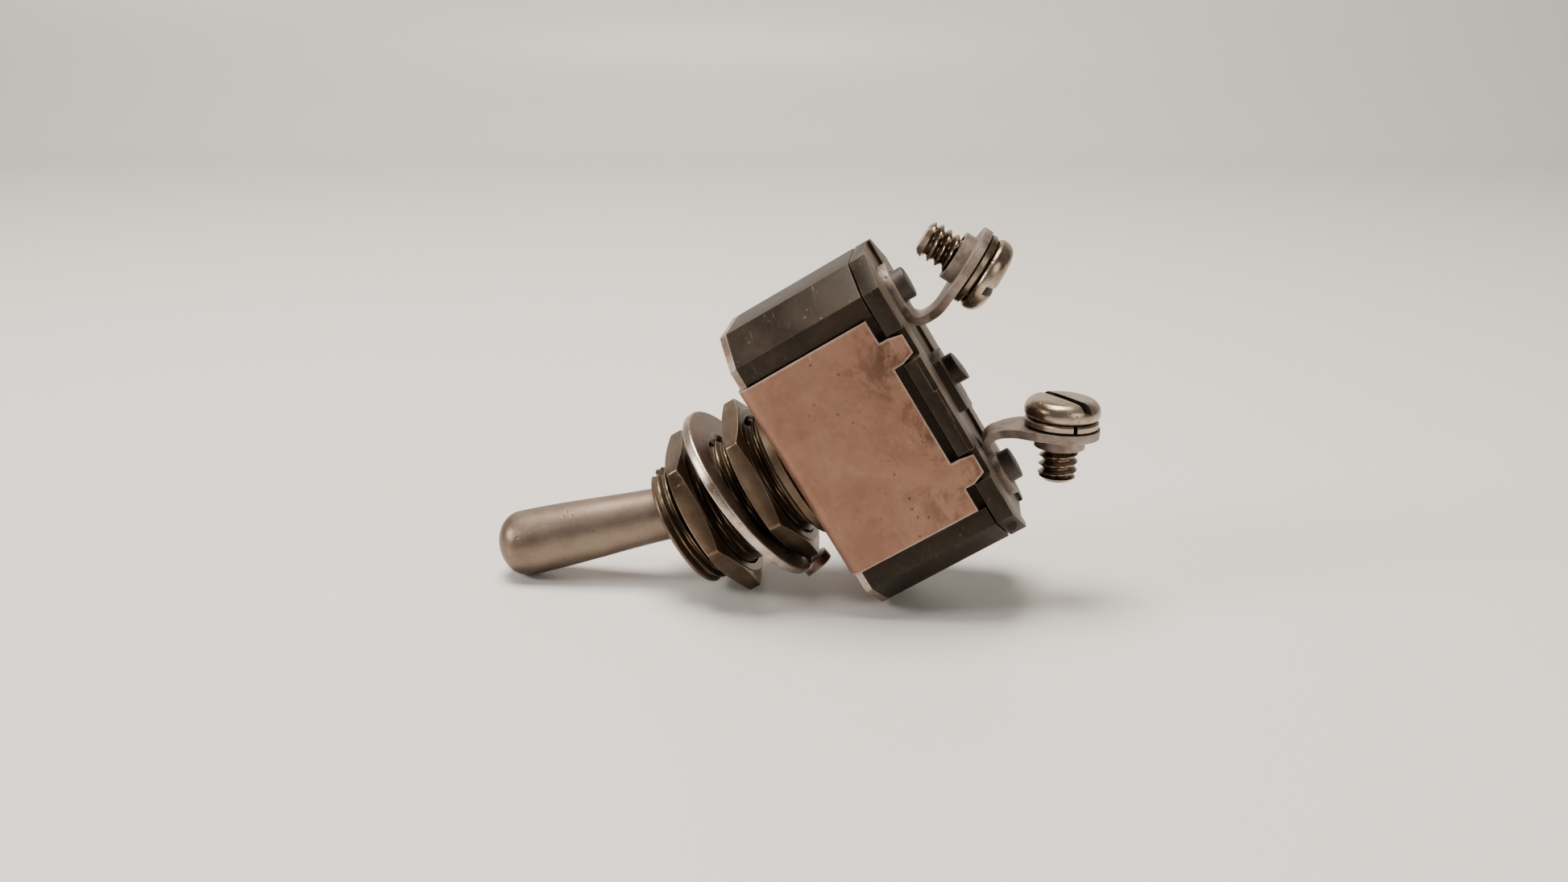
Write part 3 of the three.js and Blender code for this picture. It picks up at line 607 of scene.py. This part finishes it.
# ---------------------------------------------------------------------------------------------
# Bushing. Turned brass, nickel plated, with a shoulder on the plate, a fine 32-per-inch thread, a
# keyway along one side, a rounded rim and a flared bore. Its foot is staked under the plate.
# ---------------------------------------------------------------------------------------------
PIVOT = Vector((0, 0, 6.25 * MM))
BUSHING_R = 5.95 * MM
BUSHING_PITCH = 0.794 * MM
THREAD_DEPTH = 0.42 * MM
KEYWAY_HALF, KEYWAY_R = 0.85 * MM, 5.05 * MM


def turned(name, profile, steps, shape=None, angles=None):
    """A turned piece about Z from a closed profile of (radius, height). shape may move a point."""
    if angles is None:
        angles = [2 * math.pi * i / steps for i in range(steps)]
    count = len(profile)
    points = []
    for angle in angles:
        for radius, z in profile:
            if shape:
                radius, z = shape(radius, z, angle)
            points.append(Vector((radius * math.cos(angle), radius * math.sin(angle), z)))
    faces = []
    for i in range(len(angles)):
        j = (i + 1) % len(angles)
        for k in range(count):
            n = (k + 1) % count
            faces.append((i * count + k, j * count + k, j * count + n, i * count + n))
    return facing_out(mesh_piece(name, points, faces))


def arc(centre_r, centre_z, radius, start, end, steps):
    """Profile points on an arc, angles in degrees from the radial direction towards +Z."""
    points = []
    for i in range(steps + 1):
        turn = math.radians(start + (end - start) * i / steps)
        points.append((centre_r + radius * math.cos(turn), centre_z + radius * math.sin(turn)))
    return points


def thread(radius, z, angle, pitch, depth, low, high, fade):
    """A radius lowered by a vee thread between two heights, running out at both ends."""
    if not low < z < high:
        return radius
    phase = (z / pitch - angle / (2 * math.pi)) % 1.0
    vee = abs(2 * phase - 1)
    crest = max(0.0, min(1.0, (vee - 0.1) / 0.8))
    strength = min(1.0, (z - low) / fade, (high - z) / fade)
    return radius - depth * (1 - crest) * strength


bushing_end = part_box("bushing")[1].z
bushing_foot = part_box("bushing")[0].z
thread_rows = [0.25 * MM + i * BUSHING_PITCH / 8 for i in range(int((bushing_end - 0.6 * MM) / BUSHING_PITCH * 8))]
bushing_profile = [
    (5.15 * MM, bushing_foot), (6.2 * MM, bushing_foot), (6.3 * MM, bushing_foot + 0.1 * MM),
    (6.3 * MM, -2.2 * MM), (5.85 * MM, -2.2 * MM), (5.85 * MM, -1.0 * MM), (6.85 * MM, -1.0 * MM),
    (7.0 * MM, -0.85 * MM), (7.0 * MM, -0.18 * MM), (6.82 * MM, 0.0), (5.6 * MM, 0.02 * MM),
]
bushing_profile += [(BUSHING_R, z) for z in thread_rows]
bushing_profile += arc(BUSHING_R - 0.32 * MM, bushing_end - 0.32 * MM, 0.32 * MM, 0, 90, 6)
bushing_profile += arc(4.75 * MM + 0.25 * MM, bushing_end - 0.25 * MM, 0.25 * MM, 90, 180, 4)
bushing_profile += [(3.95 * MM, 9.2 * MM), (3.62 * MM, 7.65 * MM), (3.62 * MM, 4.95 * MM), (4.4 * MM, 1.0 * MM)]


def bushing_shape(radius, z, angle):
    if radius > 5.5 * MM and z > 0.2 * MM:
        radius = thread(
            radius, z, angle, BUSHING_PITCH, THREAD_DEPTH, 0.25 * MM, bushing_end - 0.34 * MM, 0.3 * MM,
        )
    across_key = radius * math.sin(angle)
    if math.cos(angle) > 0 and abs(across_key) < KEYWAY_HALF and radius > KEYWAY_R and z > 0.3 * MM:
        radius = KEYWAY_R
    return radius, z


nickel = worn_metal(
    "stained_nickel", (0.20, 0.145, 0.10), (0.095, 0.066, 0.044), (0.03, 0.018, 0.01), rough=0.36, shade_and_dust_in_hollows=0.9,
    bare=(0.50, 0.38, 0.26),
)
bushing = turned("bushing_barrel", bushing_profile, 144, bushing_shape)
pin_hole = round_bar("pin_hole", 0.87 * MM, -4.95 * MM, 4.95 * MM, sides=32)
pin_hole.data.transform(Matrix.Translation(PIVOT) @ Matrix.Rotation(math.radians(90), 4, "X"))
cut(bushing, pin_hole)
fitted(bushing, nickel, "housing", "nickel", "bushing")

# ---------------------------------------------------------------------------------------------
# Hex nuts, front and rear. Thin nickel-plated panel nuts, chamfered on both faces so that only a
# short stretch of each corner stays sharp. The rear one sets how far the bushing shows.
# ---------------------------------------------------------------------------------------------
NUT_FLATS, NUT_FACE_R, NUT_BORE = 14.29 * MM, 6.9 * MM, 6.0 * MM
NUT_CHAMFER = math.tan(math.radians(18))


def hex_radius(angle, turn):
    """Distance to a hexagon's side, with its corners rounded slightly."""
    local = (angle - turn) % (math.pi / 3) - math.pi / 6
    sharp = NUT_FLATS / 2 / math.cos(local)
    rounded = NUT_FLATS / 2 / math.cos(math.pi / 6) - 0.05 * MM
    return min(sharp, rounded)


def make_nut(name, node, turn, chips, material):
    low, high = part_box(node)
    thick = high.z - low.z
    profile = [
        (NUT_BORE, 0.2), (NUT_BORE + 0.2 * MM, 0.0), (NUT_FACE_R - 0.05 * MM, 0.0), (NUT_FACE_R + 0.05 * MM, 0.04),
        (0.0, 0.30), (0.0, 0.36), (0.0, 0.5), (0.0, 0.64), (0.0, 0.70),
        (NUT_FACE_R + 0.05 * MM, 0.96), (NUT_FACE_R - 0.05 * MM, 1.0), (NUT_BORE + 0.2 * MM, 1.0), (NUT_BORE, 0.8),
    ]

    def nut_shape(radius, part, angle):
        z = low.z + thick * part
        if radius == 0.0:
            radius = hex_radius(angle, turn)
            slope = (radius - NUT_FACE_R) * NUT_CHAMFER
            edge = low.z + slope if part < 0.5 else high.z - slope
            if part in (0.30, 0.70):
                z = edge
                radius -= 0.02 * MM
            elif part in (0.36, 0.64):
                z = edge + (0.05 * MM if part < 0.5 else -0.05 * MM)
            for chip_angle, chip_part, depth in chips:
                swing = (angle - chip_angle + math.pi) % (2 * math.pi) - math.pi
                near = math.exp(-((swing / 0.07) ** 2) - ((part - chip_part) / 0.28) ** 2)
                radius -= depth * near * (0.7 + 0.6 * noise.noise(Vector((angle * 30, part * 6, 1.7))))
        return radius, z

    angles = []
    for flat in range(6):
        start = turn + flat * math.pi / 3
        inside = [0.0, 0.004, 0.012, 0.03] + [i / 20 for i in range(1, 20)] + [0.97, 0.988, 0.996]
        angles += [start + share * math.pi / 3 for share in inside]
    nut = turned(name, profile, 0, nut_shape, angles)
    return fitted(nut, material, node, "nickel", node, sharp=24)


nut_nickel = worn_metal(
    "brown_stained_nickel", (0.19, 0.13, 0.085), (0.09, 0.058, 0.036), (0.03, 0.018, 0.01), rough=0.32, shade_and_dust_in_hollows=0.6,
    bare=(0.60, 0.48, 0.36), rubbed=1.0, edge=0.00018, scratched=0.5,
)
REAR_TURN, FRONT_TURN = math.radians(13.2), math.radians(17.9)
make_nut("rear_hex_nut", "rear_nut", REAR_TURN, [], nut_nickel)
front_chip = FRONT_TURN - math.pi / 3
make_nut(
    "front_hex_nut", "front_nut", FRONT_TURN,
    [(front_chip, 0.75, 0.35 * MM), (front_chip - 0.09, 0.4, 0.2 * MM), (front_chip - math.pi / 3, 0.9, 0.2 * MM)],
    nut_nickel,
)

# ---------------------------------------------------------------------------------------------
# Locking ring. A flat stamped steel ring whose inner tongue runs in the keyway. A rounded tab at
# its edge is bent back to catch in a hole of the panel. It lies loose and a little askew.
# ---------------------------------------------------------------------------------------------
RING_R, RING_BORE, RING_THICK = 9.05 * MM, 6.25 * MM, 0.92 * MM
RING_TILT, RING_Z = math.radians(-8), 4.32 * MM
TONGUE_HALF, TONGUE_R = 0.7 * MM, 5.35 * MM
TAB_ROOT_X, TAB_X, TAB_HALF, TAB_DROP = 7.2 * MM, 8.7 * MM, 1.5 * MM, 1.6 * MM
ring_place = Matrix.Translation((0, 0, RING_Z)) @ Matrix.Rotation(RING_TILT, 4, "Y")


def ring_shape(radius, z, angle):
    in_tongue = math.cos(angle) > 0 and abs(radius * math.sin(angle)) < TONGUE_HALF + 0.08 * MM
    if in_tongue and radius < RING_BORE + 0.1 * MM:
        radius -= RING_BORE - TONGUE_R
    return radius, z


def make_ring_tab():
    """The tab: an arm that leaves the ring flat, and a flap square to it with a round end."""
    arm = brick("ring_arm", (-TAB_X - RING_THICK, -TAB_HALF, 0), (-TAB_ROOT_X, TAB_HALF, RING_THICK))
    outline = [(RING_THICK, -TAB_HALF)]
    for i in range(17):
        turn = i / 16 * math.pi
        outline.append((TAB_HALF - TAB_DROP - TAB_HALF * math.sin(turn), -TAB_HALF * math.cos(turn)))
    outline.append((RING_THICK, TAB_HALF))
    flap = prism("ring_flap", outline, TAB_X, TAB_X + RING_THICK)
    flap.data.transform(Matrix(((0, 0, -1, 0), (0, 1, 0, 0), (1, 0, 0, 0), (0, 0, 0, 1))))
    cut(flap, arm, operation="UNION")
    return baked(flap, edge_softener(0.2 * MM, angle=40))


ring_profile = [(RING_BORE, 0.08 * MM), (RING_BORE + 0.08 * MM, 0.0), (RING_R - 0.3 * MM, 0.0)]
ring_profile += arc(RING_R - 0.28 * MM, 0.28 * MM, 0.28 * MM, -80, 0, 5)
ring_profile += arc(RING_R - 0.2 * MM, RING_THICK - 0.2 * MM, 0.2 * MM, 0, 90, 4)
ring_profile += [(RING_BORE + 0.08 * MM, RING_THICK), (RING_BORE, RING_THICK - 0.08 * MM)]
locking_ring = turned("keyed_locking_ring", ring_profile, 180, ring_shape)
ring_tab = make_ring_tab()
work = bmesh.new()
work.from_mesh(locking_ring.data)
work.from_mesh(ring_tab.data)
work.to_mesh(locking_ring.data)
work.free()
bpy.data.objects.remove(ring_tab)
locking_ring.data.transform(ring_place)
# The wide band of bare metal along the ring's edges is worn plating and also a painted highlight on the rim.
ring_steel = worn_metal(
    "rubbed_ring_plate", (0.24, 0.165, 0.13), (0.14, 0.09, 0.068), (0.04, 0.024, 0.015), rough=0.34, shade_and_dust_in_hollows=0.45,
    bare=(0.66, 0.60, 0.54), rubbed=1.0, edge=0.00045, scratched=0.6,
)
fitted(locking_ring, ring_steel, "locking_ring", "nickel", "locking_ring", sharp=40)
# A brighter second material on the faces of the ring's outer rim is a painted highlight along the rim.
ring_rim_highlight = worn_metal(
    "painted_highlight_ring_rim", (0.60, 0.52, 0.46), (0.30, 0.22, 0.17), (0.05, 0.03, 0.02), rough=0.30, blotch=520, shade_and_dust_in_hollows=0.3,
    scratched=0.8,
)
locking_ring.data.materials.append(ring_rim_highlight)
to_flat_ring = ring_place.inverted()
for face in locking_ring.data.polygons:
    middle = to_flat_ring @ face.center
    if RING_R - 0.12 * MM < middle.xy.length < RING_R + 0.05 * MM:
        face.material_index = 1

# ---------------------------------------------------------------------------------------------
# Bat lever. Turned brass with a satin nickel finish: a domed tip, a taper down to the neck, a ball
# that sits in the bushing on a cross pin, and a drilled stem below it for the spring and plunger.
# ---------------------------------------------------------------------------------------------
REST_TILT = math.radians(17)
BALL_R, STEM_R, NECK_R, BAT_R = 3.4 * MM, 1.95 * MM, 2.5 * MM, 3.12 * MM
LEVER_TIP, STEM_END, STEM_BORE_R, STEM_BORE_TOP = 23.3 * MM, -9.0 * MM, 1.35 * MM, -2.2 * MM
DOME = 2.45 * MM


def bat_radius(share):
    """The taper from neck (0) to bat (1): slow at both ends."""
    smooth = share * share * (3 - 2 * share)
    return NECK_R + (BAT_R - NECK_R) * smooth


lever_profile = [
    (STEM_BORE_R, STEM_END + 0.1 * MM), (STEM_BORE_R + 0.1 * MM, STEM_END),
    (STEM_R - 0.1 * MM, STEM_END), (STEM_R, STEM_END + 0.1 * MM),
]
ball_low = -math.degrees(math.acos(STEM_R / BALL_R))
ball_high = math.degrees(math.acos(NECK_R / BALL_R))
lever_profile += arc(0, 0, BALL_R, ball_low, ball_high, 18)
bat_start, bat_end = 5.2 * MM, LEVER_TIP - DOME
lever_profile += [(bat_radius(i / 24), bat_start + (bat_end - bat_start) * i / 24) for i in range(24)]
for i in range(15):
    turn = i / 15 * math.pi / 2
    lever_profile.append((BAT_R * math.cos(turn) ** 0.88, bat_end + DOME * math.sin(turn)))
lever_profile += [(0.02 * MM, LEVER_TIP), (0.02 * MM, STEM_BORE_TOP + 0.02 * MM), (STEM_BORE_R, STEM_BORE_TOP)]


def lever_to_rest():
    return Matrix.Translation(PIVOT) @ Matrix.Rotation(REST_TILT, 4, "Y")


lever = turned("bat_lever", lever_profile, 96)
work = bmesh.new()
work.from_mesh(lever.data)
for z in (LEVER_TIP, STEM_BORE_TOP):
    rim = [v for v in work.verts if abs(v.co.z - z) < 0.05 * MM and v.co.xy.length < 0.05 * MM]
    bmesh.ops.pointmerge(work, verts=rim, merge_co=Vector((0, 0, z)))
bmesh.ops.delete(
    work, geom=[e for e in work.edges if all(v.co.xy.length < 1e-9 for v in e.verts)], context="EDGES",
)
bmesh.ops.recalc_face_normals(work, faces=work.faces)
work.to_mesh(lever.data)
work.free()
ball_hole = round_bar("ball_hole", 0.87 * MM, -5 * MM, 5 * MM, sides=32)
ball_hole.data.transform(Matrix.Rotation(math.radians(90), 4, "X"))
cut(lever, ball_hole)
lever.data.transform(lever_to_rest())
lever_nickel = worn_metal(
    "satin_lever_nickel", (0.25, 0.19, 0.15), (0.17, 0.122, 0.09), (0.04, 0.024, 0.015),
    rough=0.40, blotch=150, grain=2400, dent=0.00005, shade_and_dust_in_hollows=0.45, pitting=0.8, scratched=0.5,
)
fitted(lever, lever_nickel, "lever", "nickel", "lever", sharp=40)

# ---------------------------------------------------------------------------------------------
# Terminals. Strips of tinned brass, one at each end: a flat foot held by its rivet, a tight bend
# on the inner side, and a lug that leans outwards to an eye with an extruded, tapped collar.
# ---------------------------------------------------------------------------------------------
STRIP, STRIP_HALF, NECK_HALF, EYE_R = 0.78 * MM, 2.7 * MM, 1.68 * MM, 3.5 * MM
FOOT_END, FOOT_TOP = 12.1 * MM, -16.15 * MM
COLLAR_R, COLLAR_HEIGHT, TAP_R = 2.3 * MM, 1.1 * MM, 1.85 * MM
ENDS = {
    "left": {
        "sign": 1, "bend_x": 7.35, "bend_r": 1.2, "first_lean": -3.5, "curve": 2.2, "straight": 3.87, "lean": 27.5,
    },
    "right": {
        "sign": -1, "bend_x": 7.2, "bend_r": 1.0, "first_lean": 8, "curve": 2.5, "straight": 3.55, "lean": 33.5,
    },
}


def strip_path(end):
    """A strip's middle line as for the +X end, (x, z) points from foot to beyond the eye."""
    shape = ENDS[end]
    bend_x, bend_r, curve = shape["bend_x"] * MM, shape["bend_r"] * MM, shape["curve"] * MM
    first, lean = shape["first_lean"], shape["lean"]
    middle = FOOT_TOP - STRIP / 2
    foot_steps, bend_steps, steps = 16, 10, 10
    path = [(FOOT_END + (bend_x - FOOT_END) * i / foot_steps, middle) for i in range(foot_steps)]
    for i in range(bend_steps + 1):
        turn = math.radians((90 + first) * i / bend_steps)
        path.append((bend_x - bend_r * math.sin(turn), middle - bend_r + bend_r * math.cos(turn)))
    for i in range(steps):
        turn = math.radians(first + (lean - first) * (i + 0.5) / steps)
        x, z = path[-1]
        path.append((x + curve / steps * math.sin(turn), z - curve / steps * math.cos(turn)))
    x, z = path[-1]
    lug_steps = 22
    lug = shape["straight"] * MM + EYE_R
    turn = math.radians(lean)
    for i in range(1, lug_steps + 1):
        step = lug * math.sin(i / lug_steps * math.pi / 2)
        path.append((x + step * math.sin(turn), z - step * math.cos(turn)))
    return path


def eye_centre(end):
    x, z = strip_path(end)[-1]
    turn = math.radians(ENDS[end]["lean"])
    return Vector((ENDS[end]["sign"] * (x - EYE_R * math.sin(turn)), 0, z + EYE_R * math.cos(turn)))


def lug_matrix(end):
    """From a drawing with the eye's hole along Z, screw head side up, to its place on the lug."""
    spin = Matrix.Rotation(math.pi, 4, "Z") if ENDS[end]["sign"] < 0 else Matrix.Identity(4)
    lean = math.radians(-90 - ENDS[end]["lean"])
    return Matrix.Translation(eye_centre(end)) @ spin @ Matrix.Rotation(lean, 4, "Y")


def strip_half_width(from_start, from_eye, x):
    """Half the strip's width: a round foot, a narrow neck, and a flare that runs into the eye."""
    if from_start < STRIP_HALF:
        return STRIP_HALF * math.sqrt(max(1 - (1 - from_start / STRIP_HALF) ** 2, 0.05))
    if from_eye > 5.5 * MM:
        foot_share = max(0.0, min(1.0, (x - 7.2 * MM) / (1.4 * MM)))
        return NECK_HALF + (STRIP_HALF - NECK_HALF) * foot_share * foot_share * (3 - 2 * foot_share)
    eye = math.sqrt(max(EYE_R ** 2 - from_eye ** 2, (0.25 * MM) ** 2))
    if from_eye < 1.6 * MM:
        return eye
    return max(eye, NECK_HALF + 0.42 * (5.5 * MM - from_eye))


def make_terminal(end, material):
    sign = ENDS[end]["sign"]
    path = strip_path(end)
    travelled = [0.0]
    for (x0, z0), (x1, z1) in zip(path, path[1:]):
        travelled.append(travelled[-1] + math.hypot(x1 - x0, z1 - z0))
    columns = 14
    points, faces = [], []
    for (x, z), s in zip(path, travelled):
        half = strip_half_width(s, travelled[-1] - EYE_R - s, x)
        for c in range(columns + 1):
            points.append(Vector((x, half * (2 * c / columns - 1), z)))
    for r in range(len(path) - 1):
        for c in range(columns):
            a = r * (columns + 1) + c
            faces.append((a, a + 1, a + columns + 2, a + columns + 1))
    strip = facing_out(mesh_piece("terminal_strip_" + end, points, faces))
    baked(strip, ("SOLIDIFY", {"thickness": STRIP, "offset": 0.0, "use_even_offset": True}))
    facing_out(strip)
    if sign < 0:
        strip.data.transform(Matrix.Rotation(math.pi, 4, "Z"))
    collar = round_bar("collar", COLLAR_R, -STRIP / 2 - COLLAR_HEIGHT, 0, sides=56)
    tap = round_bar("tap", TAP_R, -5 * MM, 5 * MM, sides=56)
    for tool in (collar, tap):
        tool.data.transform(lug_matrix(end))
    rivet_hole = round_bar("foot_hole", RIVET_HOLE_R, FOOT_TOP - 2 * MM, FOOT_TOP + MM, sides=40)
    rivet_hole.data.transform(Matrix.Translation((sign * RIVET_X, 0, 0)))
    cut(strip, collar, operation="UNION")
    cut(strip, tap, rivet_hole)
    baked(strip, edge_softener(0.14 * MM, angle=50))
    return fitted(strip, material, "housing", "tinned", "terminal_" + end, sharp=38)


tinned = worn_metal(
    "rough_tin_plate", (0.37, 0.30, 0.265), (0.15, 0.11, 0.088), (0.05, 0.03, 0.02),
    rough=0.5, metallic=0.7, blotch=420, grain=1500, dent=0.00012, shade_and_dust_in_hollows=0.5,
)
for end in ENDS:
    make_terminal(end, tinned)

# ---------------------------------------------------------------------------------------------
# Terminal rivets. Blackened brass: a head on the strip inside, a shank through base and foot, and
# a round end that stands proud of the foot.
# ---------------------------------------------------------------------------------------------
rivet_black = worn_metal(
    "blackened_rivet", (0.065, 0.052, 0.042), (0.03, 0.024, 0.02), (0.09, 0.06, 0.04),
    rough=0.5, metallic=0.35, blotch=500, grain=1800, shade_and_dust_in_hollows=0.5,
)
for end in ENDS:
    low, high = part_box("terminal_rivet_" + end)
    rivet_profile = [
        (0.02 * MM, low.z), (1.36 * MM, low.z), (1.46 * MM, low.z + 0.05 * MM), (1.5 * MM, low.z + 0.16 * MM),
        (1.5 * MM, -13.9 * MM), (2.1 * MM, -13.9 * MM), (2.2 * MM, -13.8 * MM), (2.2 * MM, high.z - 0.3 * MM),
        (1.7 * MM, high.z), (0.02 * MM, high.z),
    ]
    rivet = turned("rivet_" + end, rivet_profile, 56)
    rivet.data.transform(Matrix.Translation((ENDS[end]["sign"] * RIVET_X, 0, 0)))
    fitted(rivet, rivet_black, "housing", "black_rivet", "terminal_rivet_" + end)

# ---------------------------------------------------------------------------------------------
# Terminal screws and split washers. Slotted 6-32 binding-head screws in nickel-plated brass run
# into the collars, each over a split spring washer whose ends stand slightly apart.
# ---------------------------------------------------------------------------------------------
SCREW_R, HEAD_R, HEAD_HEIGHT = 1.75 * MM, 3.45 * MM, 1.85 * MM
SCREW_PITCH, SCREW_THREAD = 0.794 * MM, 0.46 * MM
HEAD_UNDER = STRIP / 2 + 0.78 * MM + 0.06 * MM
SCREW_TIP = -STRIP / 2 - COLLAR_HEIGHT - 3.1 * MM
SLOT_HALF, SLOT_DEPTH = 0.45 * MM, 0.95 * MM
SLOT_TURN = {"left": math.radians(103), "right": math.radians(128)}
SPLIT_TURN = math.radians(108)


def screw_shape(radius, z, angle):
    if radius > 1.7 * MM and z < HEAD_UNDER - 0.1 * MM:
        radius = thread(
            radius, z, angle, SCREW_PITCH, SCREW_THREAD, SCREW_TIP + 0.2 * MM, HEAD_UNDER - 0.3 * MM, 0.25 * MM,
        )
    return radius, z


def make_screw(end, material):
    rows = int((HEAD_UNDER - SCREW_TIP - 0.5 * MM) / SCREW_PITCH * 12)
    top = HEAD_UNDER + HEAD_HEIGHT
    profile = [(0.02 * MM, SCREW_TIP), (SCREW_R - 0.5 * MM, SCREW_TIP), (SCREW_R - 0.08 * MM, SCREW_TIP + 0.34 * MM)]
    profile += [(SCREW_R, SCREW_TIP + 0.4 * MM + i * SCREW_PITCH / 12) for i in range(rows)]
    profile += [(SCREW_R, HEAD_UNDER), (HEAD_R - 0.3 * MM, HEAD_UNDER)]
    profile += arc(HEAD_R - 0.55 * MM, HEAD_UNDER + 0.56 * MM, 0.55 * MM, -80, 0, 6)
    profile += arc(HEAD_R - 1.15 * MM, top - 1.18 * MM, 1.14 * MM, 8, 78, 10)
    profile += [(HEAD_R - 1.9 * MM, top - 0.015 * MM), (0.02 * MM, top)]
    screw = turned("slotted_screw_" + end, profile, 72, screw_shape)
    slot = brick("slot", (-5 * MM, -SLOT_HALF, top - SLOT_DEPTH), (5 * MM, SLOT_HALF, top + MM))
    slot.data.transform(Matrix.Rotation(SLOT_TURN[end], 4, "Z"))
    cut(screw, slot)
    screw.data.transform(lug_matrix(end))
    return fitted(screw, material, "screw_" + end, "nickel", "terminal_screw_" + end, sharp=35)


def make_split_washer(end, material):
    """A square-section ring cut through, its two ends sprung apart along the screw."""
    inner, outer, thick = 1.95 * MM, 3.35 * MM, 0.72 * MM
    low = STRIP / 2 + 0.05 * MM
    gap = math.radians(7)
    turns = 90
    section = [
        (inner + 0.08 * MM, 0.0), (outer - 0.16 * MM, 0.0), (outer, 0.16 * MM), (outer, thick - 0.16 * MM),
        (outer - 0.16 * MM, thick), (inner + 0.08 * MM, thick), (inner, thick - 0.08 * MM), (inner, 0.08 * MM),
    ]
    points, faces = [], []
    count = len(section)
    for i in range(turns + 1):
        share = i / turns
        angle = SPLIT_TURN + gap / 2 + (2 * math.pi - gap) * share
        lift = low + (share - 0.5) * 0.05 * MM + 0.02 * MM
        for radius, z in section:
            points.append(Vector((radius * math.cos(angle), radius * math.sin(angle), lift + z)))
    for i in range(turns):
        for k in range(count):
            a, b = i * count + k, i * count + (k + 1) % count
            faces.append((a, b, b + count, a + count))
    faces += [tuple(range(count)), tuple(turns * count + k for k in reversed(range(count)))]
    washer = facing_out(mesh_piece("spring_washer_" + end, points, faces))
    washer.data.transform(lug_matrix(end))
    return fitted(washer, material, "screw_" + end, "nickel", "split_washer_" + end, sharp=30)


screw_nickel = worn_metal(
    "bright_screw_nickel", (0.46, 0.37, 0.29), (0.17, 0.12, 0.08), (0.03, 0.018, 0.01),
    rough=0.25, blotch=300, shade_and_dust_in_hollows=0.85, pitting=0.8,
)
for end in ENDS:
    make_screw(end, screw_nickel)
    make_split_washer(end, screw_nickel)

# ---------------------------------------------------------------------------------------------
# Inner works. Brass strips, bracket and rocker, silver contacts, a fibre plunger and its steel
# spring: punched, turned and coiled parts that the case hides, left in their drawn shapes.
# ---------------------------------------------------------------------------------------------
spring_brass = worn_metal("punched_brass", (0.70, 0.54, 0.28), (0.55, 0.40, 0.19), (0.2, 0.13, 0.06), rough=0.35)
contact_silver = worn_metal("contact_silver", (0.80, 0.79, 0.76), (0.62, 0.60, 0.56), (0.2, 0.18, 0.16), rough=0.25)


def vulcanised_fibre():
    """Red-brown pressed fibre with a papery mottle."""
    made, tree, shader = new_material("vulcanised_fibre")
    place = add_node(tree, "ShaderNodeTexCoord")
    mottle = add_node(tree, "ShaderNodeTexNoise", Scale=900, Detail=6, Roughness=0.7)
    tree.links.new(place.outputs["Object"], mottle.inputs["Vector"])
    tones = add_node(tree, "ShaderNodeValToRGB")
    tones.color_ramp.elements[0].color = (0.10, 0.045, 0.03, 1)
    tones.color_ramp.elements[1].color = (0.24, 0.12, 0.08, 1)
    tree.links.new(mottle.outputs["Fac"], tones.inputs["Fac"])
    tree.links.new(tones.outputs["Color"], shader.inputs["Base Color"])
    shader.inputs["Roughness"].default_value = 0.7
    bump = add_node(tree, "ShaderNodeBump", Strength=0.3, Distance=0.00003)
    tree.links.new(mottle.outputs["Fac"], bump.inputs["Height"])
    tree.links.new(bump.outputs["Normal"], shader.inputs["Normal"])
    return made


fibre = vulcanised_fibre()
inner_finish = {
    "insulator_sheet": fibre, "stop_pad": fibre, "plunger": fibre,
    "pivot_pin": nickel, "rocker_pin": nickel, "plunger_spring": nickel,
    "rocker": spring_brass, "fulcrum_bracket": spring_brass, "contact_strip": spring_brass,
    "moving_contact": contact_silver, "fixed_contact": contact_silver,
}
for node, finish in inner_finish.items():
    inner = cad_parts[node]
    inner.data.materials.clear()
    inner.data.materials.append(finish)
